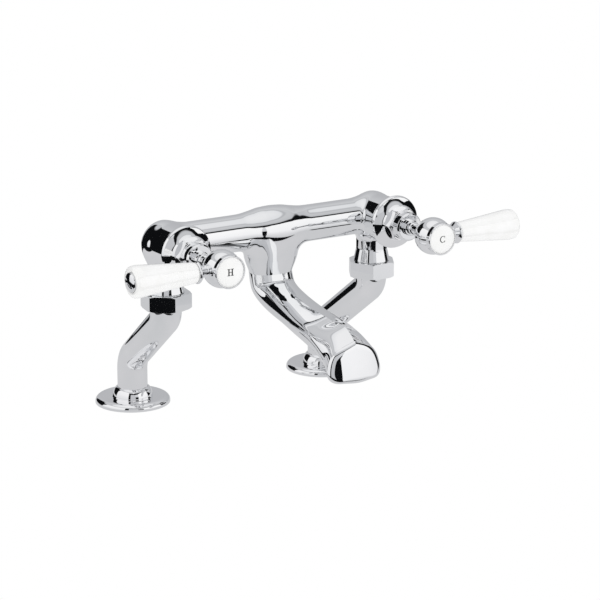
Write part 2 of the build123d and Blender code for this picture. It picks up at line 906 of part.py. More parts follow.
def make_index_disc(side):
    """Glazed index disc, gently domed, that lies in the bezel."""
    origin = valve_plane(side, 0).origin
    edge = index_disc_front - 0.5
    with BuildPart() as index_disc:
        with BuildSketch(profile_plane(origin, forward)):
            with BuildLine():
                Polyline(
                    (0, index_disc_front),
                    (0, index_disc_back),
                    (index_disc_radius, index_disc_back),
                    (index_disc_radius, edge),
                )
                TangentArc((0, index_disc_front), (index_disc_radius, edge), tangent=(1, 0))
            make_face()
        revolve(axis=Axis(origin, forward))
    return index_disc.part


def make_retaining_screw(side):
    """Slotted screw that holds the hub on the end of the spindle."""
    origin = valve_plane(side, 0).origin
    head_front = hub_web_front + screw_head_height
    with BuildPart() as screw:
        with BuildSketch(profile_plane(origin, forward)):
            Polygon(
                (0, screw_tip),
                (screw_radius, screw_tip),
                (screw_radius, hub_web_front),
                (screw_head_radius, hub_web_front),
                (screw_head_radius, head_front),
                (0, head_front),
                align=None,
            )
        revolve(axis=Axis(origin, forward))
        with BuildSketch(valve_plane(side, head_front - screw_head_height / 3)):
            Rectangle(2.5 * screw_head_radius, screw_radius / 2)
        extrude(amount=screw_head_height, mode=Mode.SUBTRACT)
    return screw.part


def make_lever_stem(side):
    """Metal root of the lever: threaded shank, waist, and the collar that holds the grip."""
    plane = lever_plane(side, 0)
    outward = Vector(side, 0, 0)
    with BuildPart() as lever_stem:
        with BuildSketch(profile_plane(plane.origin, outward)):
            with BuildLine():
                Polyline(
                    (waist_radius + 0.9, shoulder_start + 0.5),
                    (shoulder_radius, shoulder_start),
                    (shank_radius, shoulder_start),
                    (shank_radius, shank_start),
                    (0, shank_start),
                    (0, tie_rod_start),
                    (tie_rod_radius + thread_gap, tie_rod_start),
                    (tie_rod_radius + thread_gap, grip_start),
                    (lever_collar_radius - 0.7, grip_start),
                )
                Spline(
                    (lever_collar_radius - 0.7, grip_start),
                    (lever_collar_radius, grip_start - 0.8),
                    (lever_collar_radius - 0.9, collar_place),
                    (waist_radius, waist_place),
                    (waist_radius + 0.9, shoulder_start + 0.5),
                    tangents=[(1, -0.3), (0.6, -1)],
                )
            make_face()
        revolve(axis=Axis(plane.origin, outward))
    return lever_stem.part


def make_grip(side):
    """Glazed ceramic grip: a cone with rounded ends, drilled through for its rod."""
    plane = lever_plane(side, 0)
    outward = Vector(side, 0, 0)
    with BuildPart() as grip:
        with BuildSketch(profile_plane(plane.origin, outward)):
            with BuildLine():
                Polyline(
                    (grip_inner_radius - 0.6, grip_start),
                    (grip_bore, grip_start),
                    (grip_bore, cap_seat),
                    (cap_radius + slide_gap, cap_seat),
                    (cap_radius + slide_gap, grip_end),
                    (grip_end_radius, grip_end),
                )
                Spline(
                    (grip_end_radius, grip_end),
                    (grip_outer_radius - 0.9, grip_end * 0.55 + grip_widest * 0.45),
                    (grip_outer_radius, grip_widest),
                    tangents=[(1, -0.1), (-0.03, -1)],
                )
                Line((grip_outer_radius, grip_widest), (grip_inner_radius, grip_start + 1.2))
                Line((grip_inner_radius, grip_start + 1.2), (grip_inner_radius - 0.6, grip_start))
            make_face()
        revolve(axis=Axis(plane.origin, outward))
    return grip.part


def make_end_cap(side):
    """Domed cap with a slot, whose hollow stem screws onto the rod."""
    plane = lever_plane(side, 0)
    outward = Vector(side, 0, 0)
    with BuildPart() as end_cap:
        with BuildSketch(profile_plane(plane.origin, outward)):
            with BuildLine():
                Polyline(
                    (cap_radius, grip_end),
                    (cap_radius, cap_seat),
                    (cap_stem_radius, cap_seat),
                    (cap_stem_radius, cap_seat - cap_stem_length),
                    (tie_rod_radius + thread_gap, cap_seat - cap_stem_length),
                    (tie_rod_radius + thread_gap, tie_rod_end),
                    (0, tie_rod_end),
                    (0, grip_end + cap_dome),
                )
                TangentArc((0, grip_end + cap_dome), (cap_radius, grip_end), tangent=(1, 0))
            make_face()
        revolve(axis=Axis(plane.origin, outward))
        with BuildSketch(lever_plane(side, grip_end + cap_dome - cap_slot_depth)):
            Rectangle(3 * cap_radius, cap_slot_width, rotation=cap_slot_angle)
        extrude(amount=cap_dome, mode=Mode.SUBTRACT)
    return end_cap.part


def make_tie_rod(side):
    """Rod through the grip, screwed into the stem and the end cap."""
    with BuildPart() as tie_rod:
        with BuildSketch(lever_plane(side, tie_rod_start)):
            Circle(tie_rod_radius)
        extrude(amount=tie_rod_end - tie_rod_start)
    return tie_rod.part


def make_union_nut(side, turn):
    """Union nut: hexagon outside, a lip under the collar and the threaded cavity above it."""
    plane = Plane(origin=union_point(side, nut_bottom))
    height = nut_top - nut_bottom
    with BuildPart() as union_nut:
        add(make_nut(plane, union_nut_across_flats, height, spigot_radius + swivel_gap, turn, nut_chamfer))
        with BuildSketch(plane.offset(nut_lip)):
            Circle(union_thread_radius)
        extrude(amount=height, mode=Mode.SUBTRACT)
    return union_nut.part


os.makedirs("parts", exist_ok=True)


def save(piece, name):
    piece.label = name
    export_step(piece, "parts/" + name + ".step")


save(make_mixer_body(), "mixer_body")
save(make_spout(), "spout")
for side_name, side in sides.items():
    union_turn = hot_nut_turn if side < 0 else cold_nut_turn
    washer_plane = Plane(origin=union_point(side, union_washer_bottom))
    gasket_plane = Plane(origin=tail_point(side, 0))
    back_washer_plane = Plane(origin=tail_point(side, back_washer_bottom))
    back_nut_plane = Plane(origin=tail_point(side, back_nut_bottom))
    pieces = {
        "bonnet": make_bonnet(side),
        "gland_nut": make_gland_nut(side),
        "cartridge_housing": make_cartridge_housing(side),
        "seat_seal": make_ring(valve_plane(side, chamber_floor), seal_inner, seal_outer, seal_height),
        "fixed_disc": make_disc(valve_plane(side, disc_back), 0),
        "moving_disc": make_disc(valve_plane(side, moving_disc_back), 90),
        "spindle": make_spindle(side),
        "o_rings": make_o_rings(side),
        "circlip": make_circlip(side),
        "lever_hub": make_lever_hub(side),
        "retaining_screw": make_retaining_screw(side),
        "index_ring": make_index_ring(side),
        "index_disc": make_index_disc(side),
        "lever_stem": make_lever_stem(side),
        "grip": make_grip(side),
        "tie_rod": make_tie_rod(side),
        "end_cap": make_end_cap(side),
        "union_nut": make_union_nut(side, union_turn),
        "union_washer": make_ring(washer_plane, union_washer_bore, collar_radius, union_washer_height),
        "leg_tube": make_leg_tube(side),
        "deck_foot": make_deck_foot(side),
        "deck_gasket": make_ring(gasket_plane, gasket_inner, gasket_outer - slide_gap, gasket_height),
        "back_washer": make_ring(
            back_washer_plane, back_washer_bore, back_washer_radius, back_washer_height
        ),
        "back_nut": make_nut(
            back_nut_plane,
            back_nut_across_flats,
            back_nut_height,
            tail_thread_radius + thread_gap,
            0,
            nut_chamfer,
        ),
    }
    for piece_name, piece in pieces.items():
        save(piece, side_name + "_" + piece_name)
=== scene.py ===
import json
import math

import bmesh
import bpy
import numpy as np
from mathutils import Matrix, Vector

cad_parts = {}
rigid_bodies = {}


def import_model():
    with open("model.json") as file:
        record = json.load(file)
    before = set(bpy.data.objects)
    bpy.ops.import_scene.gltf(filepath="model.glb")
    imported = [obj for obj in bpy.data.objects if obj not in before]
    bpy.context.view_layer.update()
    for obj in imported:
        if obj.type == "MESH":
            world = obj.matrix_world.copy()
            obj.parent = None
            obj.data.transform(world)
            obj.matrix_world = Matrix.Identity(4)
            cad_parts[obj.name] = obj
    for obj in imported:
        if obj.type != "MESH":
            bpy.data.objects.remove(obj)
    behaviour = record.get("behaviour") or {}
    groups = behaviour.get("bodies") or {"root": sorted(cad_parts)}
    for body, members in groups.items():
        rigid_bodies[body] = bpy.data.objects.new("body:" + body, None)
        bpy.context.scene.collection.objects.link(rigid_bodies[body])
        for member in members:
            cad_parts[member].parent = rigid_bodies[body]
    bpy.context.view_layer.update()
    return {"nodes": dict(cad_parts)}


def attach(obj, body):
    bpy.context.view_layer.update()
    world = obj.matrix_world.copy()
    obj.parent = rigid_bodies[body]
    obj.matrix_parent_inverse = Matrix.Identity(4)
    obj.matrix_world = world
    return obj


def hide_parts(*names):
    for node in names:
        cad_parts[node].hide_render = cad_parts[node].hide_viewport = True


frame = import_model()

# Lengths are in millimetres until a mesh is made. The deck is z = 0, the hot side is -X.
tap = {
    "unionX": 90.0,
    "bodyY": -64.45,
    "axisZ": 139.4,
    "tailX": 85.606,
    "lathe": 128,          # steps round a turned piece
}
hands = {"hot": -1, "cold": 1}


def linear(hexText):
    # sRGB hex to a linear colour
    parts = [int(hexText[i:i + 2], 16) / 255 for i in (1, 3, 5)]
    return [c / 12.92 if c <= 0.04045 else ((c + 0.055) / 1.055) ** 2.4 for c in parts] + [1.0]


def addNode(tree, kind, values=None, links=None, **options):
    node = tree.nodes.new(kind)
    for option, value in options.items():
        setattr(node, option, value)
    for socket, value in (values or {}).items():
        node.inputs[socket].default_value = value
    for socket, source in (links or {}).items():
        tree.links.new(source, node.inputs[socket])
    return node


def setRamp(node, stops):
    # stops: (position, hex colour)
    band = node.color_ramp.elements
    while len(band) > 1:
        band.remove(band[-1])
    band[0].position = stops[0][0]
    band[0].color = linear(stops[0][1])
    for place, shade in stops[1:]:
        band.new(place).color = linear(shade)


def surfaceMaterial(name, look):
    # One recipe of Principled with a mottled colour, mottled roughness and a fine bump
    material = bpy.data.materials.new(name)
    material.use_nodes = True
    tree = material.node_tree
    shader = tree.nodes["Principled BSDF"]
    place = addNode(tree, "ShaderNodeTexCoord").outputs["Object"]
    mottle = addNode(tree, "ShaderNodeTexNoise", {"Scale": 1000 / look["mottleMm"], "Detail": 3.0},
                     {"Vector": place})
    tint = addNode(tree, "ShaderNodeValToRGB", links={"Fac": mottle.outputs["Fac"]})
    setRamp(tint, [(0.35, look["colour"]), (0.65, look["colourTwo"])])
    tree.links.new(tint.outputs["Color"], shader.inputs["Base Color"])
    smudge = addNode(tree, "ShaderNodeTexNoise", {"Scale": 1000 / look["smudgeMm"], "Detail": 4.0},
                     {"Vector": place})
    spread = addNode(tree, "ShaderNodeMapRange", {"To Min": look["rough"][0], "To Max": look["rough"][1]},
                     {"Value": smudge.outputs["Fac"]})
    tree.links.new(spread.outputs["Result"], shader.inputs["Roughness"])
    grain = addNode(tree, "ShaderNodeTexNoise", {"Scale": 1000 / look["grainMm"], "Detail": 2.0},
                    {"Vector": place})
    bump = addNode(tree, "ShaderNodeBump", {"Strength": look["bump"], "Distance": look["bumpMm"] / 1000},
                   {"Height": grain.outputs["Fac"]})
    tree.links.new(bump.outputs["Normal"], shader.inputs["Normal"])
    for socket, value in look["shader"].items():
        shader.inputs[socket].default_value = value
    return material


looks = {
    # Polished nickel and chrome plate on brass: mirror bright, with faint wiping marks
    "polishedChromePlate": {
        "colour": "#F3F4F5", "colourTwo": "#F8F8F9", "mottleMm": 40, "smudgeMm": 14, "rough": (0.015, 0.045),
        "grainMm": 9, "bump": 0.04, "bumpMm": 0.05, "shader": {"Metallic": 1.0},
    },
    # Glazed white porcelain: glassy skin over a bright, slightly warm body, faintly wavy
    "glazedPorcelain": {
        "colour": "#F6F6F5", "colourTwo": "#FAFAFA", "mottleMm": 12, "smudgeMm": 6, "rough": (0.10, 0.16),
        "grainMm": 5, "bump": 0.06, "bumpMm": 0.08,
        "shader": {"IOR": 1.5, "Coat Weight": 0.6, "Coat Roughness": 0.03},
    },
    # Black enamel fired into the index
    "blackIndexEnamel": {
        "colour": "#161616", "colourTwo": "#242424", "mottleMm": 2, "smudgeMm": 2, "rough": (0.25, 0.4),
        "grainMm": 0.6, "bump": 0.1, "bumpMm": 0.02, "shader": {"IOR": 1.5},
    },
    # Turned brass, unplated, with a dull oxide film
    "turnedBrass": {
        "colour": "#B8934C", "colourTwo": "#C9A75E", "mottleMm": 8, "smudgeMm": 3, "rough": (0.22, 0.38),
        "grainMm": 0.8, "bump": 0.2, "bumpMm": 0.02, "shader": {"Metallic": 1.0},
    },
    # Sintered alumina discs, lapped to a satin face
    "lappedAlumina": {
        "colour": "#E4DED2", "colourTwo": "#EEE9DF", "mottleMm": 3, "smudgeMm": 2, "rough": (0.3, 0.45),
        "grainMm": 0.3, "bump": 0.1, "bumpMm": 0.01, "shader": {"IOR": 1.76},
    },
    # Stainless spring steel, drawn and tumbled
    "tumbledStainless": {
        "colour": "#9C9DA0", "colourTwo": "#AEB0B2", "mottleMm": 4, "smudgeMm": 1.5, "rough": (0.25, 0.4),
        "grainMm": 0.4, "bump": 0.2, "bumpMm": 0.01, "shader": {"Metallic": 1.0},
    },
    # Moulded black nitrile rubber, matt
    "mouldedNitrile": {
        "colour": "#17181A", "colourTwo": "#212225", "mottleMm": 5, "smudgeMm": 2, "rough": (0.6, 0.8),
        "grainMm": 0.5, "bump": 0.3, "bumpMm": 0.03, "shader": {"IOR": 1.52},
    },
}
materials = {name: surfaceMaterial(name, look) for name, look in looks.items()}
chrome = materials["polishedChromePlate"]
porcelain = materials["glazedPorcelain"]
ink = materials["blackIndexEnamel"]
print("materials made:", len(materials))


def roundedCorners(corners, closed, steps=7):
    # corners: (radius, along, rounding); a fillet at each corner, and support points beside it
    count = len(corners)
    result = []
    for i, corner in enumerate(corners):
        here = np.array(corner[:2], float)
        size = corner[2] if len(corner) > 2 else 0
        if size <= 0 or (not closed and i in (0, count - 1)):
            result.append(here)
            continue
        back = np.array(corners[i - 1][:2], float) - here
        ahead = np.array(corners[(i + 1) % count][:2], float) - here
        lengthBack, lengthAhead = np.linalg.norm(back), np.linalg.norm(ahead)
        back, ahead = back / lengthBack, ahead / lengthAhead
        half = math.acos(max(-1, min(1, float(back @ ahead)))) / 2
        run = min(size / math.tan(half), 0.48 * lengthBack, 0.48 * lengthAhead)
        radius = run * math.tan(half)
        middle = here + (back + ahead) / np.linalg.norm(back + ahead) * math.hypot(run, radius)
        start, end = here + back * run - middle, here + ahead * run - middle
        sweep = math.pi - 2 * half
        turn = math.copysign(1, start[0] * end[1] - start[1] * end[0])
        support = min(0.06, run * 0.2)
        result.append(here + back * (run + support))
        for k in range(steps + 1):
            a = turn * sweep * k / steps
            result.append(middle + [start[0] * math.cos(a) - start[1] * math.sin(a),
                                    start[0] * math.sin(a) + start[1] * math.cos(a)])
        result.append(here + ahead * (run + support))
    return result


def smoothRun(points, steps=8):
    # Catmull-Rom curve through the points
    points = [np.array(p, float) for p in points]
    ends = [2 * points[0] - points[1]] + points + [2 * points[-1] - points[-2]]
    run = []
    for a, b, c, d in zip(ends, ends[1:], ends[2:], ends[3:]):
        for k in range(steps):
            t = k / steps
            run.append(0.5 * (2 * b + (c - a) * t + (2 * a - 5 * b + 4 * c - d) * t * t
                              + (3 * b - a - 3 * c + d) * t ** 3))
    return run + [points[-1]]


def spinProfile(profile, closed, steps=None):
    # Turns (radius, along) points round the local Z axis; returns vertices and faces
    steps = steps or tap["lathe"]
    verts, rings, faces = [], [], []
    for radius, along in profile:
        if radius < 1e-6:
            rings.append([len(verts)] * steps)
            verts.append((0, 0, along))
            continue
        rings.append(list(range(len(verts), len(verts) + steps)))
        for k in range(steps):
            a = 2 * math.pi * k / steps
            verts.append((radius * math.cos(a), radius * math.sin(a), along))
    pairs = list(zip(rings, rings[1:])) + ([(rings[-1], rings[0])] if closed else [])
    for low, high in pairs:
        for k in range(steps):
            n = (k + 1) % steps
            corners = [low[k], low[n], high[n], high[k]]
            corners = [c for i, c in enumerate(corners) if c not in corners[:i]]
            if len(corners) > 2:
                faces.append(corners)
    return np.array(verts, float), faces


def turnTo(verts, centre, direction):
    # Local Z to the direction, local X kept level along the body where it can be
    turns = {"up": np.eye(3), "front": np.array([[1, 0, 0], [0, 0, -1], [0, 1, 0]], float),
             "right": np.array([[0, 0, 1], [0, 1, 0], [-1, 0, 0]], float),
             "left": np.array([[0, 0, -1], [0, 1, 0], [1, 0, 0]], float)}
    return verts @ turns[direction].T + np.array(centre, float)


def joinParts(parts):
    verts, faces, slots = [], [], []
    count = 0
    for part in parts:
        partVerts, partFaces = part[0], part[1]
        verts.append(partVerts)
        faces += [[i + count for i in face] for face in partFaces]
        slots += [part[2] if len(part) > 2 else 0] * len(partFaces)
        count += len(partVerts)
    return np.concatenate(verts), faces, slots


def showObject(name, data):
    shown = bpy.data.objects.new(name, data)
    bpy.context.collection.objects.link(shown)
    return shown


def plainMesh(source):
    # The evaluated result of live modifiers or of a node tree, as a mesh of its own
    return bpy.data.meshes.new_from_object(source.evaluated_get(bpy.context.evaluated_depsgraph_get()))


def makeObject(name, parts, mats, sharp=28):
    verts, faces, slots = joinParts(parts)
    mesh = bpy.data.meshes.new(name)
    mesh.from_pydata((verts / 1000).tolist(), [], faces)
    for material in mats:
        mesh.materials.append(material)
    mesh.polygons.foreach_set("material_index", slots)
    shell = bmesh.new()
    shell.from_mesh(mesh)
    bmesh.ops.remove_doubles(shell, verts=shell.verts, dist=1e-7)
    bmesh.ops.recalc_face_normals(shell, faces=shell.faces)
    shell.to_mesh(mesh)
    shell.free()
    mesh.shade_smooth()
    mesh.set_sharp_from_angle(angle=math.radians(sharp))
    return showObject(name, mesh)


def applyModifiers(made):
    mesh, old = plainMesh(made), made.data
    made.modifiers.clear()
    made.data = mesh
    bpy.data.meshes.remove(old)


def joinInto(made, other):
    bpy.ops.object.select_all(action="DESELECT")
    other.select_set(True)
    made.select_set(True)
    bpy.context.view_layer.objects.active = made
    bpy.ops.object.join()


def place(made, body, node, slotName="chrome_plated_brass"):
    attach(made, body)
    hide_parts(node)


def turned(profile, centre, direction, closed=True, steps=None):
    verts, faces = spinProfile(profile, closed, steps)
    return turnTo(verts, centre, direction), faces


def axisPoint(side, reach=0.0):
    # On the valve's axis, so far in front of the body
    return side * tap["unionX"], tap["bodyY"] - reach, tap["axisZ"]


def hexNut(acrossFlats, height, bore, turn, chamfer):
    # Hexagon with a corner at the turn's angle, chamfered at both ends; rows run from bore to bore
    flat = acrossFlats / 2
    corner = flat / math.cos(math.radians(30))
    faceRadius = corner - chamfer
    angles = []
    for side in range(6):
        for k in range(12):
            angles.append(60 * side - 30 + 60 * k / 12)
    rows = [[] for _ in range(6)]
    for a in angles:
        off = (a + 30) % 60 - 30
        outer = flat / math.cos(math.radians(off))
        cut = max(0.0, outer - faceRadius) * math.tan(math.radians(30))
        inner = min(outer, faceRadius)
        for row, (radius, along) in enumerate(((bore, 0), (inner, 0), (outer, cut),
                                               (outer, height - cut), (inner, height), (bore, height))):
            b = math.radians(a + turn + 30)
            rows[row].append((radius * math.cos(b), radius * math.sin(b), along))
    count = len(angles)
    verts = np.array([v for row in rows for v in row], float)
    faces = []
    for row in range(6):
        below, above = row * count, (row + 1) % 6 * count
        for k in range(count):
            n = (k + 1) % count
            faces.append([below + k, below + n, above + n, above + k])
    return verts, faces


body = {
    "endRadius": 17.2, "domeLength": 17.0,
    # distance from the middle, radius of the tube
    "tube": [(0, 17.3), (9, 16.8), (18, 15.2), (28, 13.9), (36, 13.8), (70, 13.8), (80, 15.0), (90, 17.2)],
    # drop below the axis, radius of the end barrels
    "barrel": [(30, 11.8), (19.4, 11.8), (14, 13.6), (9.4, 15.0), (4.6, 15.8), (0, 15.9)],
    # drop below the axis, half width along X, depth behind, depth in front
    "boss": [(40, 17.0, 17.0, 9.6), (33.1, 17.0, 17.0, 11.6), (30.0, 18.1, 17.1, 12.4),
             (26.9, 19.5, 17.2, 13.1), (20.6, 21.6, 17.3, 14.5), (14.4, 22.5, 17.1, 15.5),
             (3.4, 25.0, 16.2, 16.2), (0, 25.5, 15.9, 16.3)],
    "valveRadius": 16.8, "valveFront": 27.5, "bossFoot": 33.1, "neckCut": 26.0,
    "voxel": 1.0, "barrelBlend": 4.0, "valveBlend": 2.5, "bossBlend": 6.0, "capSink": 1.25,
    "tubeEndSlope": 0.12,
    # (radius, height) of the rough forms that the remesh fuses
    "roughBarrel": [(0, -42), (11.8, -42), (11.8, -19.4), (15.2, -9.4), (16.5, 0), (0, 5)],
    "roughBoss": [(0, -40), (17.0, -40), (17.0, -33), (17.2, -25), (17.4, -12), (16.0, 0), (0, 4)],
    "roughBossRadius": 17.2, "valveFaceMargin": 0.6, "lowestFree": -39.0, "moves": 8, "longestMove": 0.8,
    # (radius, height over the deck, rounding) of the turned end below the neck, up to the cut
    "turnedEnd": [(0, 95.5), (13.1, 95.5, 0.3), (13.1, 103.2), (13.9, 103.2, 0.35), (12.1, 111.3, 0.6),
                  (11.8, 112.2)],
    "neckRadius": 11.8, "endOverlap": 0.02,
}


def smoothTable(table, x, column=1):
    # Cubic through the rows of a table, with slopes from the neighbours
    rows = np.array(sorted(table), float)
    at, value = rows[:, 0], rows[:, column]
    step = np.diff(at)
    slope = np.diff(value) / step
    tangent = np.zeros_like(value)
    for i in range(1, len(at) - 1):
        if slope[i - 1] * slope[i] > 0:
            tangent[i] = 2 * slope[i - 1] * slope[i] / (slope[i - 1] + slope[i])
    tangent[-1] = slope[-1] if table is not body["tube"] else body["tubeEndSlope"]
    x = np.clip(x, at[0], at[-1])
    i = np.clip(np.searchsorted(at, x) - 1, 0, len(step) - 1)
    t = (x - at[i]) / step[i]
    h = step[i]
    return ((2 * t ** 3 - 3 * t ** 2 + 1) * value[i] + (t ** 3 - 2 * t ** 2 + t) * h * tangent[i]
            + (3 * t ** 2 - 2 * t ** 3) * value[i + 1] + (t ** 3 - t ** 2) * h * tangent[i + 1])


def smoothUnion(a, b, blend):
    h = np.maximum(blend - np.abs(a - b), 0) / blend
    return np.minimum(a, b) - h * h * blend / 4


def bodyField(p):
    # Signed, distance-like field of the casting; p is measured from the body's middle
    x, y, z = np.abs(p[:, 0]), p[:, 1], p[:, 2]
    out = np.hypot(y, z)
    tube = out - smoothTable(body["tube"], x)
    beyond = np.maximum(x - tap["unionX"], 0)
    dome = (np.sqrt((beyond / body["domeLength"]) ** 2 + (out / body["endRadius"]) ** 2) - 1) \
        * body["endRadius"]
    tube = np.where(x > tap["unionX"], dome, tube)
    dx = x - tap["unionX"]
    above = np.maximum(z, 0) * body["capSink"]
    barrel = np.sqrt(dx ** 2 + y ** 2 + above ** 2) - smoothTable(body["barrel"], -z)
    behind = np.maximum(y, 0) * body["capSink"]
    valve = np.sqrt(dx ** 2 + z ** 2 + behind ** 2) - body["valveRadius"]
    alongX = smoothTable(body["boss"], -z, 1)
    alongY = np.where(y > 0, smoothTable(body["boss"], -z, 2), smoothTable(body["boss"], -z, 3))
    boss = (np.sqrt((x / alongX) ** 2 + (y / alongY) ** 2 + (above / 16.0) ** 2) - 1) * alongY
    field = smoothUnion(tube, barrel, body["barrelBlend"])
    field = smoothUnion(field, np.where(y > -45, valve, 50), body["valveBlend"])
    return smoothUnion(field, boss, body["bossBlend"])


def fieldSlope(p, step=0.02):
    slope = np.empty_like(p)
    for axis in range(3):
        shift = np.zeros(3)
        shift[axis] = step
        slope[:, axis] = (bodyField(p + shift) - bodyField(p - shift)) / (2 * step)
    return slope


def makeMixerBody():
    # Rough closed forms are fused by a voxel remesh and drawn onto the field, which gives every joint its fillet
    centre = np.array([0, tap["bodyY"], tap["axisZ"]])
    x = np.linspace(-tap["unionX"], tap["unionX"], 91)
    profile = [(0, -tap["unionX"] - body["domeLength"])]
    dome = [(body["endRadius"] * math.cos(math.radians(a)),
             tap["unionX"] + body["domeLength"] * math.sin(math.radians(a))) for a in (15, 30, 45, 60, 75)]
    profile += [(radius, -along) for radius, along in dome[::-1]]
    profile += [(float(smoothTable(body["tube"], abs(v))), v) for v in x]
    profile += dome + [(0, tap["unionX"] + body["domeLength"])]
    parts = [turned(profile, centre, "right", False, 64)]
    for side in hands.values():
        foot = centre + [side * tap["unionX"], 0, 0]
        parts.append(turned(body["roughBarrel"], foot, "up", False, 64))
        valve = [(0, -5), (body["valveRadius"], 0), (body["valveRadius"], body["valveFront"]),
                 (0, body["valveFront"])]
        parts.append(turned(valve, foot, "front", False, 64))
    verts, faces = spinProfile(body["roughBoss"], False, 64)
    widen = np.array([float(smoothTable(body["boss"], -z, 1)) / body["roughBossRadius"] for z in verts[:, 2]])
    verts[:, 0] *= widen
    parts.append((verts + centre, faces))
    rough = makeObject("mixerBodyCasting", parts, [chrome])
    remesh = rough.modifiers.new("fuse", "REMESH")
    remesh.mode = "VOXEL"
    remesh.voxel_size = body["voxel"] / 1000
    applyModifiers(rough)

    mesh = rough.data
    count = len(mesh.vertices)
    points = np.empty(count * 3)
    mesh.vertices.foreach_get("co", points)
    points = points.reshape(-1, 3) * 1000 - centre
    faceLevel = -body["valveFront"] + body["valveFaceMargin"]
    free = points[:, 1] > faceLevel                     # the flat valve faces lie inside the bonnets
    free &= points[:, 2] > body["lowestFree"]
    for _ in range(body["moves"]):
        slope = fieldSlope(points)
        size = np.maximum((slope ** 2).sum(1), 0.05)
        step = -(bodyField(points) / size)[:, None] * slope
        points += np.clip(step, -body["longestMove"], body["longestMove"]) * free[:, None]
    mesh.vertices.foreach_set("co", ((points + centre) / 1000).ravel())
    mesh.update()

    shell = bmesh.new()
    shell.from_mesh(mesh)
    for low, inside in ((body["neckCut"], True), (body["bossFoot"], False)):
        level = (tap["axisZ"] - low) / 1000
        near = [f for f in shell.faces if (abs(f.calc_center_median().x) > 0.06) == inside]
        parts = list({v for f in near for v in f.verts}) + list({e for f in near for e in f.edges}) + near
        cut = bmesh.ops.bisect_plane(shell, geom=parts, plane_co=(0, 0, level), plane_no=(0, 0, -1),
                                     clear_outer=True)
        rim = [e for e in cut["geom_cut"] if isinstance(e, bmesh.types.BMEdge)]
        bmesh.ops.holes_fill(shell, edges=rim, sides=0)
    bmesh.ops.recalc_face_normals(shell, faces=shell.faces)
    shell.to_mesh(mesh)
    shell.free()

    # Turned ends below the necks: cone, then the thread inside the union nut
    top = tap["axisZ"] - body["neckCut"] + body["endOverlap"]
    lower = roundedCorners(body["turnedEnd"] + [(body["neckRadius"], top), (0, top)], False)
    ends = [turned(lower, (side * tap["unionX"], tap["bodyY"], 0), "up", False) for side in hands.values()]
    joinInto(rough, makeObject("barrelEnds", ends, [chrome]))
    mesh = rough.data
    mesh.shade_smooth()
    mesh.set_sharp_from_angle(angle=math.radians(40))

    # The field's own slope gives exact normals, so that reflections run without a ripple
    count = len(mesh.vertices)
    points = np.empty(count * 3)
    mesh.vertices.foreach_get("co", points)
    points = points.reshape(-1, 3) * 1000 - centre
    smooth = (np.abs(bodyField(points)) < 0.05) & (points[:, 1] > faceLevel)
    inMiddle = (np.abs(points[:, 0]) < 60) & (points[:, 2] > -body["bossFoot"])
    smooth &= (points[:, 2] > -body["neckCut"] + 0.01) | inMiddle
    slope = fieldSlope(points)
    slope /= np.linalg.norm(slope, axis=1)[:, None]
    loops = len(mesh.loops)
    owner = np.empty(loops, int)
    mesh.loops.foreach_get("vertex_index", owner)
    corner = np.empty(loops * 3)
    mesh.corner_normals.foreach_get("vector", corner)
    corner = corner.reshape(-1, 3)
    faceNormal = np.empty((loops, 3))
    for polygon in mesh.polygons:
        faceNormal[list(polygon.loop_indices)] = polygon.normal
    agree = (faceNormal * slope[owner]).sum(1) > 0.8
    use = smooth[owner] & agree
    corner[use] = slope[owner][use]
    mesh.normals_split_custom_set(corner.tolist())
    place(rough, "root", "mixer_body")
    print("mixer body:", len(mesh.polygons), "faces")


makeMixerBody()


spout = {
    "wall": 3.0, "noseFront": 121.4, "noseBulge": 5.5, "noseHalf": 23.4, "noseLean": 0.2, "noseMiddle": 65.0,
    "edgeRound": 2.6, "edgeInward": 4.6,      # the rolled rim: its depth, and its width across the face
    "tipZ": 64.5, "ridgeFineness": 1.15, "sharpAngle": 24,
    # reach, height, tilt, half width, rise, fall, ridge, flatness of the floor
    "stations": [
        (0.0, 106.3, 90.0, 17.0, 11.6, 17.0, 0.0, 0.0),
        (3.3, 96.8, 66.0, 17.4, 11.0, 15.8, 0.0, 0.0),
        (15.0, 90.5, 33.0, 17.1, 9.8, 13.9, 0.0, 0.0),
        (35.7, 86.0, 14.5, 17.3, 8.6, 13.2, 0.2, 0.0),
        (61.3, 82.4, 11.0, 18.2, 8.0, 15.6, 0.55, 0.0),
        (83.0, 80.4, 7.0, 18.9, 8.2, 18.4, 0.9, 0.1),
        (103.0, 75.0, -2.0, 19.4, 13.2, 19.0, 1.0, 0.62),
        (125.0, 57.6, -11.0, 27.2, 19.0, 8.4, 0.85, 1.6),
    ],
    "rows": 150, "round": 128, "outletWidth": 30.0, "outletDepth": 14.0, "outletReach": 109.9,
}


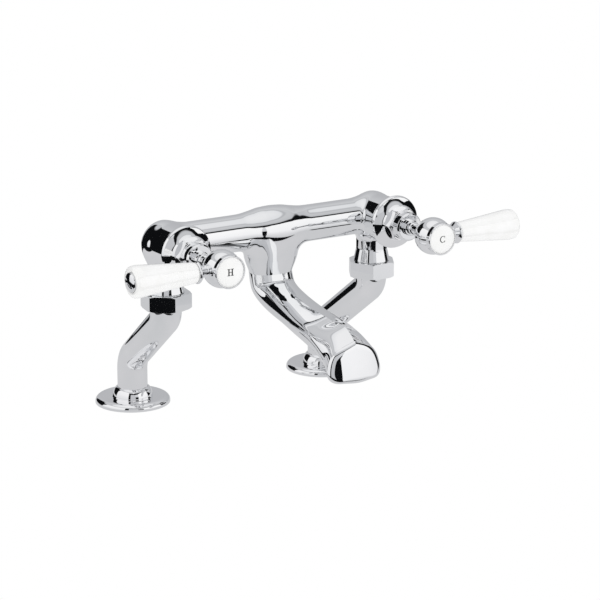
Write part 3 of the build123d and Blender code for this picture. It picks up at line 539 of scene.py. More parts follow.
def hermiteThrough(points, startTangent, endTangent, steps):
    # Cubic spline through points, with given end directions; parameter by chord length
    points = np.array(points, float)
    chord = np.linalg.norm(np.diff(points, axis=0), axis=1)
    count = len(points)
    matrix = np.zeros((count, count))
    right = np.zeros((count, 2))
    matrix[0, 0] = matrix[-1, -1] = 1
    right[0] = np.array(startTangent) / np.linalg.norm(startTangent)
    right[-1] = np.array(endTangent) / np.linalg.norm(endTangent)
    for i in range(1, count - 1):
        a, b = chord[i - 1], chord[i]
        matrix[i, i - 1], matrix[i, i], matrix[i, i + 1] = b, 2 * (a + b), a
        right[i] = 3 * (b / a * (points[i] - points[i - 1]) + a / b * (points[i + 1] - points[i]))
    tangent = np.linalg.solve(matrix, right)
    total = np.concatenate([[0], np.cumsum(chord)])
    u = np.array(steps) * total[-1]
    i = np.clip(np.searchsorted(total, u, side="right") - 1, 0, count - 2)
    h = chord[i][:, None]
    t = ((u - total[i]) / chord[i])[:, None]
    return ((2 * t ** 3 - 3 * t ** 2 + 1) * points[i] + (t ** 3 - 2 * t ** 2 + t) * h * tangent[i]
            + (3 * t ** 2 - 2 * t ** 3) * points[i + 1] + (t ** 3 - t ** 2) * h * tangent[i + 1])


def spoutRow(station, inset):
    reach, height, tilt, width, rise, fall, ridge, floor = station
    width, rise, fall = width - inset, rise - inset, fall - inset
    # Right half of the section, from the ridge to the middle of the floor
    outline = [
        (0, rise),
        (width * (0.70 - 0.07 * ridge), rise * (0.71 - 0.18 * ridge)),
        (width, -fall * 0.42 * floor),
        (width * (0.924 + 0.060 * floor), -fall * (0.383 + 0.31 * floor)),
        (width * (0.707 + 0.160 * floor), -fall * (0.707 + 0.160 * floor)),
        (width * 0.45, -fall * (0.893 + 0.062 * floor)),
        (0, -fall),
    ]
    half = spout["round"] // 2
    steps = np.linspace(0, 1, half + 1) ** spout["ridgeFineness"]
    right = hermiteThrough(outline, (1, -0.42 * ridge), (-1, 0), steps)
    left = right[1:-1][::-1] * [-1, 1]
    section = np.concatenate([right, left])
    slant = math.radians(tilt)
    lift = np.array([0, -math.sin(slant), math.cos(slant)])
    origin = np.array([0, tap["bodyY"] - reach, height])
    return origin + section[:, :1] * [1, 0, 0] + section[:, 1:] * lift


def noseDepth(points, front):
    # How far points stand in front of the rounded nose, which leans back with height
    bulge, half = spout["noseBulge"], spout["noseHalf"]
    radius = (half ** 2 + bulge ** 2) / (2 * bulge)
    surface = tap["bodyY"] - front + radius - np.sqrt(np.maximum(radius ** 2 - points[..., 0] ** 2, 1))
    surface = surface + (points[..., 2] - spout["noseMiddle"]) * spout["noseLean"]
    return surface - points[..., 1]


def spoutShell(inset):
    table = np.array(spout["stations"])
    chord = np.concatenate([[0], np.cumsum(np.hypot(np.diff(table[:, 0]), np.diff(table[:, 1])))])
    rows = []
    for s in np.linspace(0, chord[-1], spout["rows"]):
        station = [smoothTable(list(zip(chord, table[:, c])), np.array([s]))[0] for c in range(8)]
        rows.append(spoutRow(station, inset))
    rows = np.array(rows)
    front = spout["noseFront"] - inset
    edge, rollIn = spout["edgeRound"], spout["edgeInward"]
    verts = np.empty_like(rows)
    line = np.linspace(0, 1, spout["rows"])
    for k in range(rows.shape[1]):
        depth = noseDepth(rows[:, k], front - edge)
        last = np.argmax(depth > 0)
        share = (0 - depth[last - 1]) / (depth[last] - depth[last - 1])
        end = (last - 1 + share) / (spout["rows"] - 1)
        at = line * (1 - line ** 3 * (1 - end))
        for c in range(3):
            verts[:, k, c] = np.interp(at, line, rows[:, k, c])
    rim = verts[-1]
    rings = list(verts)
    inward = np.array([0, 0, spout["tipZ"]]) - rim
    inward[:, 1] = 0
    reach = np.linalg.norm(inward, axis=1)[:, None]
    inward /= reach
    for a in np.linspace(9, 90, 10):
        ring = rim + inward * rollIn * (1 - math.cos(math.radians(a)))
        ring[:, 1] = rim[:, 1] + noseDepth(ring, front - edge) - edge * math.sin(math.radians(a))
        rings.append(ring)
    inner = rings[-1]
    for t in (0.02, 0.1, 0.2, 0.3, 0.4, 0.5, 0.6, 0.7, 0.8, 0.9):
        ring = inner + inward * (reach - rollIn) * t
        ring[:, 1] = inner[:, 1]
        ring[:, 1] += noseDepth(ring, front)
        rings.append(ring)
    tip = np.array([[0, 0, spout["tipZ"]]])
    tip[0, 1] = noseDepth(tip, front)[0]
    count = rows.shape[1]
    points = np.concatenate(rings + [tip])
    faces = []
    for r in range(len(rings) - 1):
        for k in range(count):
            n = (k + 1) % count
            faces.append([r * count + k, r * count + n, (r + 1) * count + n, (r + 1) * count + k])
    last = (len(rings) - 1) * count
    faces += [[last + k, last + (k + 1) % count, len(points) - 1] for k in range(count)]
    faces.append(list(range(count - 1, -1, -1)))
    return points, faces


def cutAway(made, tool):
    cut = made.modifiers.new("cut", "BOOLEAN")
    cut.operation = "DIFFERENCE"
    cut.solver = "EXACT"
    cut.object = tool
    applyModifiers(made)
    bpy.data.objects.remove(tool)


def makeSpout():
    made = makeObject("ridgedSpout", [spoutShell(0)], [chrome], spout["sharpAngle"])
    cutAway(made, makeObject("spoutCore", [spoutShell(spout["wall"])], [chrome]))
    verts, faces = spinProfile([(0, -20), (1, -20), (1, 20), (0, 20)], False, 96)
    verts = verts * [spout["outletWidth"] / 2, spout["outletDepth"] / 2, 1]
    outlet = makeObject("outletCut", [(verts + [0, tap["bodyY"] - spout["outletReach"], 42], faces)],
                        [chrome])
    cutAway(made, outlet)
    made.data.set_sharp_from_angle(angle=math.radians(spout["sharpAngle"]))
    place(made, "root", "spout")
    print("spout:", len(made.data.polygons), "faces")


makeSpout()


leg = {
    "radius": 11.5, "upperZ": 83.5, "lowerZ": 35.3, "topZ": 90.9, "footZ": 3.2, "upperBend": 13.0,
    "lowerBend": 18.0,
}


def treeSocket(tree, name, kind, value=None):
    item = tree.interface.new_socket(name, in_out="INPUT", socket_type=kind)
    if value is not None:
        item.default_value = value
    return item


def tubeTree():
    # A pipe along a poly line: its corners are filleted by index, then a round profile is swept
    tree = bpy.data.node_groups.new("bentPipe", "GeometryNodeTree")
    treeSocket(tree, "Route", "NodeSocketGeometry")
    treeSocket(tree, "Pipe Radius", "NodeSocketFloat", 0.0115)
    treeSocket(tree, "Upper Bend", "NodeSocketFloat", 0.013)
    treeSocket(tree, "Lower Bend", "NodeSocketFloat", 0.018)
    treeSocket(tree, "Finish", "NodeSocketMaterial")
    tree.interface.new_socket("Geometry", in_out="OUTPUT", socket_type="NodeSocketGeometry")
    given = addNode(tree, "NodeGroupInput").outputs
    index = addNode(tree, "GeometryNodeInputIndex").outputs[0]
    first = addNode(tree, "FunctionNodeCompare", {3: 1}, {2: index}, data_type="INT", operation="EQUAL")
    bend = addNode(tree, "GeometryNodeSwitch", links={"Switch": first.outputs[0], "True": given["Upper Bend"],
                                                      "False": given["Lower Bend"]}, input_type="FLOAT")
    fillet = addNode(tree, "GeometryNodeFilletCurve", {"Count": 28},
                     {"Curve": given["Route"], "Radius": bend.outputs[0]}, mode="POLY")
    circle = addNode(tree, "GeometryNodeCurvePrimitiveCircle", {"Resolution": 96},
                     {"Radius": given["Pipe Radius"]})
    sweep = addNode(tree, "GeometryNodeCurveToMesh", {"Fill Caps": True},
                    {"Curve": fillet.outputs[0], "Profile Curve": circle.outputs[0]})
    smooth = addNode(tree, "GeometryNodeSetShadeSmooth", {"Shade Smooth": True},
                     {"Geometry": sweep.outputs[0]})
    real = addNode(tree, "GeometryNodeRealizeInstances", links={"Geometry": smooth.outputs[0]})
    finish = addNode(tree, "GeometryNodeSetMaterial",
                     links={"Geometry": real.outputs[0], "Material": given["Finish"]})
    addNode(tree, "NodeGroupOutput", links={0: finish.outputs[0]})
    return tree


def setInputs(modifier, tree, values):
    # A modifier's inputs are set by identifier
    for item in tree.interface.items_tree:
        if item.item_type == "SOCKET" and item.in_out == "INPUT" and item.name in values:
            modifier[item.identifier] = values[item.name]


def makeLegs(tree):
    for hand, side in hands.items():
        union, tail = side * tap["unionX"], side * tap["tailX"]
        corners = [(union, tap["bodyY"], leg["topZ"]), (union, tap["bodyY"], leg["upperZ"]),
                   (tail, 0, leg["lowerZ"]), (tail, 0, leg["footZ"])]
        curve = bpy.data.curves.new(hand + "Route", "CURVE")
        curve.dimensions = "3D"
        line = curve.splines.new("POLY")
        line.points.add(3)
        for point, corner in zip(line.points, corners):
            point.co = (*[c / 1000 for c in corner], 1)
        route = showObject(hand + "Route", curve)
        modifier = route.modifiers.new("pipe", "NODES")
        modifier.node_group = tree
        setInputs(modifier, tree, {"Pipe Radius": leg["radius"] / 1000, "Upper Bend": leg["upperBend"] / 1000,
                                   "Lower Bend": leg["lowerBend"] / 1000, "Finish": chrome})
        mesh = plainMesh(route)
        bpy.data.objects.remove(route)
        mesh.name = hand + "CrankedLeg"
        mesh.set_sharp_from_angle(angle=math.radians(30))
        place(showObject(hand + "CrankedLeg", mesh), hand + "_leg", hand + "_leg_tube")
    print("legs swept")


makeLegs(tubeTree())


foot = {
    "threadPitch": 1.814, "threadCrest": 13.2, "threadRoot": 12.1, "threadTop": -0.4, "threadEnd": -56.0,
    # (radius, height, rounding): bore, tail, gasket room and the flange's edge
    "tail": [(11.55, 3.2), (9.5, 3.2, 0.2), (9.5, -58.0, 0.4), (12.1, -58.0, 0.8), (12.1, -0.5), (13.5, -0.3),
             (13.5, 1.45), (24.05, 1.45), (24.05, 0, 0.1), (28.7, 0, 0.35), (28.7, 1.3)],
    "beadMiddle": 24.5, "beadWidth": 4.2, "beadBase": 1.4, "beadHeight": 3.8,
    "dish": [(23.4, 5.17), (21.5, 5.02), (19.5, 4.85), (17.8, 4.8)], "step": [(15.75, 4.82)],
    "dome": [(15.6, 5.4), (15.45, 6.6), (14.9, 8.6), (13.7, 11.0), (12.6, 12.25)],
    "collar": [(11.8, 12.6), (11.55, 12.2)],
}


def threadTree():
    # A ridge with a triangular section, swept along a helix
    tree = bpy.data.node_groups.new("pipeThread", "GeometryNodeTree")
    treeSocket(tree, "Route", "NodeSocketGeometry")
    treeSocket(tree, "Turns", "NodeSocketFloat", 10.0)
    treeSocket(tree, "Root Radius", "NodeSocketFloat", 0.012)
    treeSocket(tree, "Length", "NodeSocketFloat", 0.02)
    treeSocket(tree, "Ridge", "NodeSocketFloat", 0.001)
    treeSocket(tree, "Finish", "NodeSocketMaterial")
    tree.interface.new_socket("Geometry", in_out="OUTPUT", socket_type="NodeSocketGeometry")
    given = addNode(tree, "NodeGroupInput").outputs
    helix = addNode(tree, "GeometryNodeCurveSpiral", {"Resolution": 48},
                    {"Rotations": given["Turns"], "Start Radius": given["Root Radius"],
                     "End Radius": given["Root Radius"], "Height": given["Length"]})
    upright = addNode(tree, "GeometryNodeSetCurveNormal", links={"Curve": helix.outputs[0]}, mode="Z_UP")
    ridge = addNode(tree, "GeometryNodeCurvePrimitiveCircle", {"Resolution": 4}, {"Radius": given["Ridge"]})
    sweep = addNode(tree, "GeometryNodeCurveToMesh", {"Fill Caps": True},
                    {"Curve": upright.outputs[0], "Profile Curve": ridge.outputs[0]})
    real = addNode(tree, "GeometryNodeRealizeInstances", links={"Geometry": sweep.outputs[0]})
    finish = addNode(tree, "GeometryNodeSetMaterial",
                     links={"Geometry": real.outputs[0], "Material": given["Finish"]})
    addNode(tree, "NodeGroupOutput", links={0: finish.outputs[0]})
    return tree


def threadMesh(tree, turns, root, length, ridge):
    holder = showObject("threadHolder", bpy.data.meshes.new("threadHolder"))
    modifier = holder.modifiers.new("thread", "NODES")
    modifier.node_group = tree
    setInputs(modifier, tree, {"Turns": turns, "Root Radius": root / 1000, "Length": length / 1000,
                               "Ridge": ridge / 1000, "Finish": chrome})
    mesh = plainMesh(holder)
    bpy.data.objects.remove(holder)
    verts = np.array([v.co[:] for v in mesh.vertices]) * 1000
    faces = [list(p.vertices) for p in mesh.polygons]
    bpy.data.meshes.remove(mesh)
    return verts, faces


def makeFeet(tree):
    length = foot["threadTop"] - foot["threadEnd"]
    thread = threadMesh(tree, length / foot["threadPitch"], foot["threadRoot"], length,
                        foot["threadCrest"] - foot["threadRoot"])
    bead = [(foot["beadMiddle"] + foot["beadWidth"] * math.cos(math.radians(a)),
             foot["beadBase"] + foot["beadHeight"] * math.sin(math.radians(a))) for a in range(0, 91, 10)]
    loop = roundedCorners(foot["tail"], False) + bead + smoothRun(foot["dish"], 4) + foot["step"] \
        + smoothRun(foot["dome"], 6) + foot["collar"]
    for hand, side in hands.items():
        centre = (side * tap["tailX"], 0, 0)
        ridge = (thread[0] + [side * tap["tailX"], 0, foot["threadEnd"]], thread[1])
        made = makeObject(hand + "DeckFoot", [turned(loop, centre, "up"), ridge], [chrome])
        place(made, hand + "_leg", hand + "_deck_foot")
    print("deck feet turned, thread turns:", round(length / foot["threadPitch"], 1))


makeFeet(threadTree())


nuts = {
    "acrossFlats": 33.2, "height": 12.0, "bottomZ": 91.0, "bore": 13.25, "lip": 2.5, "lipBore": 10.08,
    "chamfer": 1.6, "bevel": 0.28, "turn": {"hot": 22.0, "cold": 1.0},
    "backFlats": 36.0, "backHeight": 9.0, "backZ": -31.0, "backBore": 13.27,
}


def bevelEdges(made, width, angle=25):
    bevel = made.modifiers.new("edge", "BEVEL")
    bevel.width = width / 1000
    bevel.segments = 3
    bevel.limit_method = "ANGLE"
    bevel.angle_limit = math.radians(angle)
    bevel.harden_normals = True
    applyModifiers(made)


def makeNuts():
    for hand, side in hands.items():
        verts, faces = hexNut(nuts["acrossFlats"], nuts["height"], nuts["bore"], nuts["turn"][hand],
                              nuts["chamfer"])
        # The bore narrows to the lip at the bottom
        count = len(verts) // 6
        verts[:count, :2] *= nuts["lipBore"] / nuts["bore"]
        lipTop = verts[:count].copy()
        lipTop[:, 2] = nuts["lip"]
        shoulder = verts[5 * count:].copy()
        shoulder[:, 2] = nuts["lip"]
        base = len(verts)
        verts = np.concatenate([verts, shoulder, lipTop])
        faces = faces[:5 * count]
        for k in range(count):
            n = (k + 1) % count
            faces.append([5 * count + k, 5 * count + n, base + n, base + k])
            faces.append([base + k, base + n, base + count + n, base + count + k])
            faces.append([base + count + k, base + count + n, n, k])
        verts = verts + [side * tap["unionX"], tap["bodyY"], nuts["bottomZ"]]
        made = makeObject(hand + "UnionNut", [(verts, faces)], [chrome], 20)
        bevelEdges(made, nuts["bevel"])
        place(made, "root", hand + "_union_nut")
        verts, faces = hexNut(nuts["backFlats"], nuts["backHeight"], nuts["backBore"], 0, nuts["chamfer"])
        verts = verts + [side * tap["tailX"], 0, nuts["backZ"]]
        made = makeObject(hand + "BackNut", [(verts, faces)], [materials["turnedBrass"]], 20)
        bevelEdges(made, nuts["bevel"])
        place(made, hand + "_leg", hand + "_back_nut", "plain_brass")
    print("nuts made")


makeNuts()


# Profiles are (radius, distance in front of the body's axis, rounding)
headwork = {
    "boreRadius": 8.35,
    "bonnet": [(8.35, 38.0), (8.35, 31.0), (13.0, 31.0), (13.0, 26.0), (16.8, 26.0, 0.2)],
    "rim": [(19.6, 29.3, 0.6), (20.3, 31.3, 1.4), (19.5, 33.2)],
    "bell": [(19.4, 33.3), (17.9, 34.1), (16.1, 35.2), (14.4, 36.5), (13.2, 38.0)],
    "hexRadius": 13.0, "hexBack": 37.8, "hexFront": 44.0, "hexChamfer": 1.0, "hexBevel": 0.25,
    "gland": [(8.35, 44.0), (10.3, 44.0, 0.2), (10.8, 44.6, 0.3), (10.8, 51.2, 0.5), (9.6, 52.4, 0.3),
              (6.0, 52.4, 0.15), (6.0, 55.2, 0.4), (5.2, 56.0, 0.2), (4.6, 56.0), (4.6, 50.0), (8.35, 50.0)],
    "spindle": [(0, 15.5), (7.2, 15.5, 0.2), (7.2, 18.4), (4.5, 18.4), (4.5, 23.15), (3.3, 23.15),
                (3.3, 24.85), (4.5, 24.85), (4.5, 28.15), (3.3, 28.15), (3.3, 29.85), (4.5, 29.85),
                (4.5, 50.4), (3.7, 50.4), (3.7, 51.6), (4.5, 51.6), (4.5, 57.5, 0.3), (4.1, 58.2, 0.3),
                (4.1, 69.2, 0.4), (4.5, 69.9, 0.2), (4.5, 70.15), (4.2, 70.15), (4.2, 80.9), (2.06, 80.9),
                (2.06, 70.4), (0, 70.4)],
    "hubRadius": 13.9, "hubCentre": 83.1, "hubBack": 70.2, "hubFront": 91.3,
    "hubBore": [(4.25, 70.2), (4.25, 81.1), (2.05, 81.1), (2.05, 82.4), (8.0, 82.4), (8.0, 91.3)],
    "bezel": [(6.75, 88.0), (7.95, 88.0), (7.95, 91.3), (11.95, 91.3, 0.15), (12.1, 91.6, 0.2),
              (12.1, 95.1, 0.5), (11.6, 95.7, 0.25), (11.05, 95.7, 0.1), (11.05, 93.2), (6.75, 93.2)],
}


def hubProfile():
    # A sphere between two flats, bored for the spline and recessed under the index
    low, high = headwork["hubBack"] - headwork["hubCentre"], headwork["hubFront"] - headwork["hubCentre"]
    ball = []
    for z in np.linspace(-1, 1, 49):
        along = low + (high - low) * (0.5 + 0.5 * math.sin(z * math.pi / 2))
        ball.append((math.sqrt(headwork["hubRadius"] ** 2 - along ** 2), headwork["hubCentre"] + along))
    return headwork["hubBore"][:1] + ball + headwork["hubBore"][:0:-1]


def makeHeadwork():
    flare = roundedCorners(headwork["bonnet"] + headwork["rim"], False) + smoothRun(headwork["bell"], 6)
    for hand, side in hands.items():
        centre = axisPoint(side)
        verts, faces = hexNut(headwork["hexRadius"] * 2 * math.cos(math.radians(30)),
                              headwork["hexFront"] - headwork["hexBack"], headwork["boreRadius"], 0,
                              headwork["hexChamfer"])
        verts[:, 2] += headwork["hexBack"]
        hexagon = makeObject(hand + "BonnetHex", [(turnTo(verts, centre, "front"), faces)], [chrome], 20)
        bevelEdges(hexagon, headwork["hexBevel"])
        made = makeObject(hand + "Bonnet", [turned(flare, centre, "front")], [chrome])
        joinInto(made, hexagon)
        place(made, "root", hand + "_bonnet")
        # name, profile, closed loop, body, node
        for name, profile, closed, rider, node in (
                ("GlandNut", roundedCorners(headwork["gland"], True, 5), True, "root", "_gland_nut"),
                ("Spindle", roundedCorners(headwork["spindle"], False, 5), False, hand + "_lever",
                 "_spindle"),
                ("LeverHub", hubProfile(), True, hand + "_lever", "_lever_hub"),
                ("IndexRing", roundedCorners(headwork["bezel"], True, 5), True, hand + "_lever",
                 "_index_ring")):
            place(makeObject(hand + name, [turned(profile, centre, "front", closed)], [chrome]), rider,
                  hand + node)
    print("headwork and hubs made")


makeHeadwork()


index = {
    "radius": 11.0, "back": 93.2, "front": 95.45, "edge": 94.95, "rim": 0.1,
    "letterHeight": 5.0, "stem": 0.95, "thin": 0.4, "serif": 2.3, "width": 5.0, "ink": 0.05, "inkDepth": 0.2,
}


def slab(x0, x1, z0, z1):
    return [(x0, z0), (x1, z0), (x1, z1), (x0, z1)]


def letterShapes(letter):
    high, stem, thin, serif, wide = (index[k] for k in ("letterHeight", "stem", "thin", "serif", "width"))
    top = high / 2
    if letter == "H":
        shapes = []
        for x in (-wide / 2 + serif / 2, wide / 2 - serif / 2):
            shapes.append(slab(x - stem / 2, x + stem / 2, -top, top))
            shapes.append(slab(x - serif / 2, x + serif / 2, top - thin, top))
            shapes.append(slab(x - serif / 2, x + serif / 2, -top, -top + thin))
        shapes.append(slab(-wide / 2 + serif / 2, wide / 2 - serif / 2, -thin / 2, thin / 2))
        return shapes
    # C: a bow that is thick on its left and thin at the top and bottom, with upright serifs
    shapes = []
    angles = np.radians(np.linspace(48, 312, 45))
    outer = [(wide * 0.47 * math.cos(a), top * math.sin(a)) for a in angles]
    inner = [(wide * 0.47 * math.cos(a) * 0.78 + 0.28, (top - thin) * math.sin(a)) for a in angles]
    for a, b, c, d in zip(outer, outer[1:], inner[1:], inner):
        shapes.append([a, b, c, d])
    for high in (1, -1):
        z0, z1 = sorted((high * top * 0.42, high * top * 0.98))
        shapes.append(slab(wide * 0.34, wide * 0.34 + thin, z0, z1))
    return shapes


def makeIndexDiscs():
    for hand, side in hands.items():
        centre = axisPoint(side)
        dome = [(index["radius"] * math.sin(math.radians(a)),
                 index["edge"] + (index["front"] - index["edge"]) * math.cos(math.radians(a)))
                for a in (90, 75, 60, 45, 30, 15)]
        profile = roundedCorners([(0, index["back"]), (index["radius"], index["back"], index["rim"])],
                                 False) \
            + [(index["radius"], index["edge"] - index["rim"])] + dome + [(0, index["front"])]
        parts = [turned(profile, centre, "front", False)]
        for shape in letterShapes("H" if hand == "hot" else "C"):
            count = len(shape)
            front = [(x, -(index["front"] + index["ink"]), z) for x, z in shape]
            back = [(x, -(index["front"] - index["inkDepth"]), z) for x, z in shape]
            faces = [list(range(count)), list(range(2 * count - 1, count - 1, -1))]
            faces += [[k, k + count, (k + 1) % count + count, (k + 1) % count] for k in range(count)]
            parts.append((np.array(front + back, float) + centre, faces, 1))
        made = makeObject(hand + "IndexDisc", parts, [porcelain, ink])
        place(made, hand + "_lever", hand + "_index_disc", "white_glazed_ceramic")
    print("index discs lettered")


makeIndexDiscs()


# Profiles are (radius, distance out from the spindle's axis, rounding)
lever = {
    "station": 83.0,
    "stemRoot": [(0, 9.5), (3.0, 9.5, 0.2), (3.0, 12.5), (5.3, 12.5, 0.1), (5.25, 13.0)],
    "stemCurve": [(5.2, 13.1), (4.5, 13.9), (4.2, 15.0), (4.9, 16.5), (6.6, 18.2), (7.7, 19.3)],
    "collar": [(7.8, 19.4), (8.2, 20.0, 0.4), (8.25, 20.6, 0.3), (7.5, 21.1, 0.2), (2.1, 21.1), (2.1, 16.3),
               (0, 16.3)],
    "grip": [(3.2, 21.15), (6.7, 21.15, 0.3), (7.4, 22.3, 1.4), (11.6, 66.9, 6.5), (11.2, 71.5, 3.0),
             (8.6, 72.3, 1.6),
             (7.25, 71.9, 0.3), (7.15, 71.35), (3.2, 71.35)],
    "cap": [(2.1, 65.3), (3.0, 65.3), (3.0, 71.35), (7.05, 71.35), (7.05, 72.4, 0.25), (6.9, 72.9)],
    "capFloor": 71.7, "rodBore": 2.1, "capFace": 72.3, "domeFoot": 0.1,
    "dome": 2.2, "capRadius": 7.05, "slotWidth": 1.4, "slotDepth": 1.2, "slotAngle": 60,
}


def makeLevers():
    for hand, side in hands.items():
        centre = axisPoint(side, lever["station"])
        outward = "right" if side > 0 else "left"
        stem = roundedCorners(lever["stemRoot"], False, 5) + smoothRun(lever["stemCurve"], 6) \
            + roundedCorners(lever["collar"], False, 5)
        made = makeObject(hand + "LeverStem", [turned(stem, centre, outward, False)], [chrome])
        place(made, hand + "_lever", hand + "_lever_stem")
        grip = turned(roundedCorners(lever["grip"], True, 10), centre, outward)
        made = makeObject(hand + "Grip", [grip], [porcelain])
        place(made, hand + "_lever", hand + "_grip", "white_glazed_ceramic")
        domed = []
        for a in range(80, 0, -10):
            height = lever["domeFoot"] + (lever["dome"] - lever["domeFoot"]) * math.cos(math.radians(a))
            domed.append((lever["capRadius"] * math.sin(math.radians(a)), lever["capFace"] + height))
        cap = roundedCorners(lever["cap"], False, 4) + domed \
            + [(0, lever["capFace"] + lever["dome"]), (0, lever["capFloor"]),
               (lever["rodBore"], lever["capFloor"])]
        made = makeObject(hand + "EndCap", [turned(cap, centre, outward)], [chrome])
        tall = lever["capRadius"] * 2
        block = np.array([(x, y, z) for x in (-tall, tall) for y in (-0.5, 0.5) for z in (0, 6)], float)
        block[:, 1] *= lever["slotWidth"]
        a = math.radians(lever["slotAngle"])
        block[:, :2] = block[:, :2] @ np.array([[math.cos(a), math.sin(a)], [-math.sin(a), math.cos(a)]])
        block[:, 2] += lever["capFace"] + lever["dome"] - lever["slotDepth"]
        faces = [[0, 1, 3, 2], [4, 6, 7, 5], [0, 4, 5, 1], [2, 3, 7, 6], [0, 2, 6, 4], [1, 5, 7, 3]]
        tool = makeObject("slotTool", [(turnTo(block, centre, outward), faces)], [chrome])
        cutAway(made, tool)
        made.data.set_sharp_from_angle(angle=math.radians(28))
        place(made, hand + "_lever", hand + "_end_cap")
    print("levers made")


makeLevers()


keptMaterials = {
    "cartridge_housing": "turnedBrass", "seat_seal": "mouldedNitrile", "fixed_disc": "lappedAlumina",
    "moving_disc": "lappedAlumina", "o_rings": "mouldedNitrile", "circlip": "tumbledStainless",
    "retaining_screw": "tumbledStainless", "tie_rod": "tumbledStainless", "union_washer": "mouldedNitrile",
    "deck_gasket": "mouldedNitrile", "back_washer": "turnedBrass",
}
for hand in hands:
    for piece, finish in keptMaterials.items():
        node = frame["nodes"][hand + "_" + piece]
        node.data.materials.clear()
        node.data.materials.append(materials[finish])
print("inner pieces finished")


studio = {
    "lens": 149.4, "azimuth": -31.5, "elevation": 15.62, "distance": 1894.0, "target": (25.4, -64.45, 79.8),
    "lamp": 2.2, "worldLight": 0.95,
    # a grey board under the tap, seen only in the gloss: left, right, front and back edge
    "board": (-330, 420, -265, 340), "boardColours": ("#CBCCCE", "#D2D2D4"),
    "cardDistance": 1300, "cardMiddle": (0, -60, 110),
    # azimuth from the front, towards +X; then left and right reach, low and high edge in degrees
    "cards": {
        "frontSoftbox": (30, -28, 38, -24, 34),
        "leftSoftbox": (-94, -38, 38, -10, 45),
        "greyFlag": (-31, -14, 15, -11, 30),
        "upperFlag": (-7, -9, 9, 9, 30),
        "backWall": (138, -43, 43, -12, 50),
    },
    # height as a share of the card, colour
    "cardColours": {
        "frontSoftbox": [(0.0, "#CFD0D2"), (0.23, "#E9E9EB"), (0.42, "#FAFAFB"), (0.78, "#FFFFFF"),
                         (1.0, "#FFFFFF")],
        "leftSoftbox": [(0.0, "#E4E5E7"), (0.5, "#F6F6F7"), (1.0, "#FAFAFA")],
        "greyFlag": [(0.0, "#C2C3C6"), (1.0, "#C8C9CC")],
        "upperFlag": [(0.0, "#CFD0D3"), (1.0, "#DADBDD")],
        "backWall": [(0.0, "#B4B5B8"), (0.5, "#BDBEC1"), (1.0, "#D2D3D5")],
    },
    # elevation, colour of the room in the gloss
    "room": [(-90, "#0C0D0F"), (38, "#0E0F11"), (41, "#C4C5C8"), (51.5, "#CDCED0"), (53.5, "#BCBDC0"),
             (54.5, "#BCBDC0"), (57, "#E6E7E9"), (75, "#F2F2F3")],
    "lampSize": 1.6, "lampPlace": (-0.4, -0.5, 1.7), "lampAim": (0, -0.06, 0.1),
}


def makeCamera():
    camera = bpy.data.cameras.new("studioCamera")
    camera.sensor_width = 36.0
    camera.lens = studio["lens"]
    camera.clip_start, camera.clip_end = 0.05, 30.0
    view = showObject("studioCamera", camera)
    a, e = math.radians(studio["azimuth"]), math.radians(studio["elevation"])
    back = Vector((math.sin(a) * math.cos(e), -math.cos(a) * math.cos(e), math.sin(e)))
    view.location = (Vector(studio["target"]) + back * studio["distance"]) / 1000
    view.rotation_euler = (-back).to_track_quat("-Z", "Y").to_euler()
    bpy.context.scene.camera = view


def glowMaterial(name, stops, low, high):
    # Light of its own, graded by height, or by a soft cloud where the card lies flat
    material = bpy.data.materials.new(name)
    material.use_nodes = True
    tree = material.node_tree
    tree.nodes.clear()
    place = addNode(tree, "ShaderNodeTexCoord").outputs["Object"]
    if high > low:
        split = addNode(tree, "ShaderNodeSeparateXYZ", links={"Vector": place})
        share = addNode(tree, "ShaderNodeMapRange", {"From Min": low, "From Max": high},
                        {"Value": split.outputs["Z"]})
    else:
        share = addNode(tree, "ShaderNodeTexNoise", {"Scale": 3.0}, {"Vector": place})
    tint = addNode(tree, "ShaderNodeValToRGB", links={"Fac": share.outputs[0]})
    setRamp(tint, stops)
    glow = addNode(tree, "ShaderNodeEmission", links={"Color": tint.outputs["Color"]})
    addNode(tree, "ShaderNodeOutputMaterial", links={"Surface": glow.outputs[0]})
    return material


def makeCard(name, corners, material, onlyGloss=True):
    mesh = bpy.data.meshes.new(name)
    mesh.from_pydata([[c / 1000 for c in corner] for corner in corners], [], [[0, 1, 2, 3]])
    mesh.materials.append(material)
    card = showObject(name, mesh)
    card.visible_camera = not onlyGloss
    card.visible_glossy = onlyGloss
    card.visible_diffuse = not onlyGloss
    card.visible_shadow = False


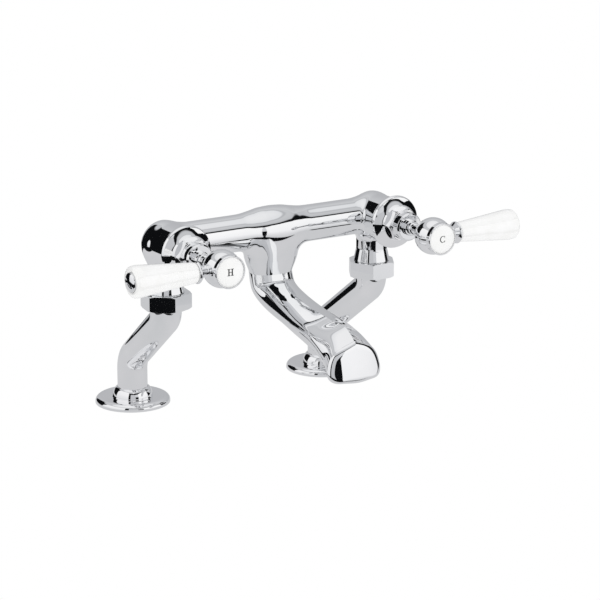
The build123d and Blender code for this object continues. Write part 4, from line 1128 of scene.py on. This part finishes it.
def makeStage():
    # White floor for the eye; the board and the upright cards stand only in the reflections
    white = glowMaterial("whiteFloor", [(0.0, "#FFFFFF"), (1.0, "#FFFFFF")], 0, 0)
    makeCard("whiteFloor", [(-6000, -6000, 0), (6000, -6000, 0), (6000, 6000, 0), (-6000, 6000, 0)], white,
             False)
    left, right, front, rear = studio["board"]
    grey = glowMaterial("greyBoard", [(0.35, studio["boardColours"][0]), (0.65, studio["boardColours"][1])],
                        0, 0)
    makeCard("greyBoard", [(left, front, 0), (right, front, 0), (right, rear, 0), (left, rear, 0)], grey)
    for name, (azimuth, west, east, low, high) in studio["cards"].items():
        far = studio["cardDistance"]
        a = math.radians(azimuth)
        middle = np.array(studio["cardMiddle"], float)
        ahead, across = np.array([math.sin(a), -math.cos(a), 0]), np.array([math.cos(a), math.sin(a), 0])
        corners = [middle + far * (ahead + across * math.tan(math.radians(w))
                                   + np.array([0, 0, math.tan(math.radians(h))]))
                   for w, h in ((west, low), (east, low), (east, high), (west, high))]
        heights = [corners[0][2] / 1000, corners[2][2] / 1000]
        makeCard(name, corners, glowMaterial(name, studio["cardColours"][name], *heights))


def makeLamp():
    light = bpy.data.lights.new("overheadSoftbox", "AREA")
    light.shape = "RECTANGLE"
    light.size = light.size_y = studio["lampSize"]
    light.energy = studio["lamp"]
    lamp = showObject("overheadSoftbox", light)
    lamp.location = studio["lampPlace"]
    lamp.rotation_euler = (-lamp.location + Vector(studio["lampAim"])).to_track_quat("-Z", "Y").to_euler()
    lamp.visible_glossy = False


def makeWorld():
    # White to the camera, even light on the pieces, and a dark room with a pale ceiling in the gloss
    world = bpy.data.worlds.new("paleStudio")
    bpy.context.scene.world = world
    world.use_nodes = True
    tree = world.node_tree
    tree.nodes.clear()
    way = addNode(tree, "ShaderNodeTexCoord").outputs["Generated"]
    split = addNode(tree, "ShaderNodeSeparateXYZ", links={"Vector": way})
    height = addNode(tree, "ShaderNodeMath", {1: 0.5, 2: 0.5}, {0: split.outputs["Z"]},
                     operation="MULTIPLY_ADD")
    room = addNode(tree, "ShaderNodeValToRGB", links={"Fac": height.outputs[0]})
    setRamp(room, [(0.5 + 0.5 * math.sin(math.radians(angle)), shade) for angle, shade in studio["room"]])
    ray = addNode(tree, "ShaderNodeLightPath").outputs
    glossy = addNode(tree, "ShaderNodeBackground", links={"Color": room.outputs["Color"]})
    even = addNode(tree, "ShaderNodeBackground", {"Color": (1, 1, 1, 1), "Strength": studio["worldLight"]})
    white = addNode(tree, "ShaderNodeBackground", {"Color": (1, 1, 1, 1), "Strength": 1.0})
    pick = addNode(tree, "ShaderNodeMixShader",
                   links={0: ray["Is Glossy Ray"], 1: even.outputs[0], 2: glossy.outputs[0]})
    seen = addNode(tree, "ShaderNodeMixShader",
                   links={0: ray["Is Camera Ray"], 1: pick.outputs[0], 2: white.outputs[0]})
    addNode(tree, "ShaderNodeOutputWorld", links={"Surface": seen.outputs[0]})


makeCamera()
makeStage()
makeLamp()
makeWorld()
bpy.context.scene.view_settings.view_transform = "Standard"
print("studio set")
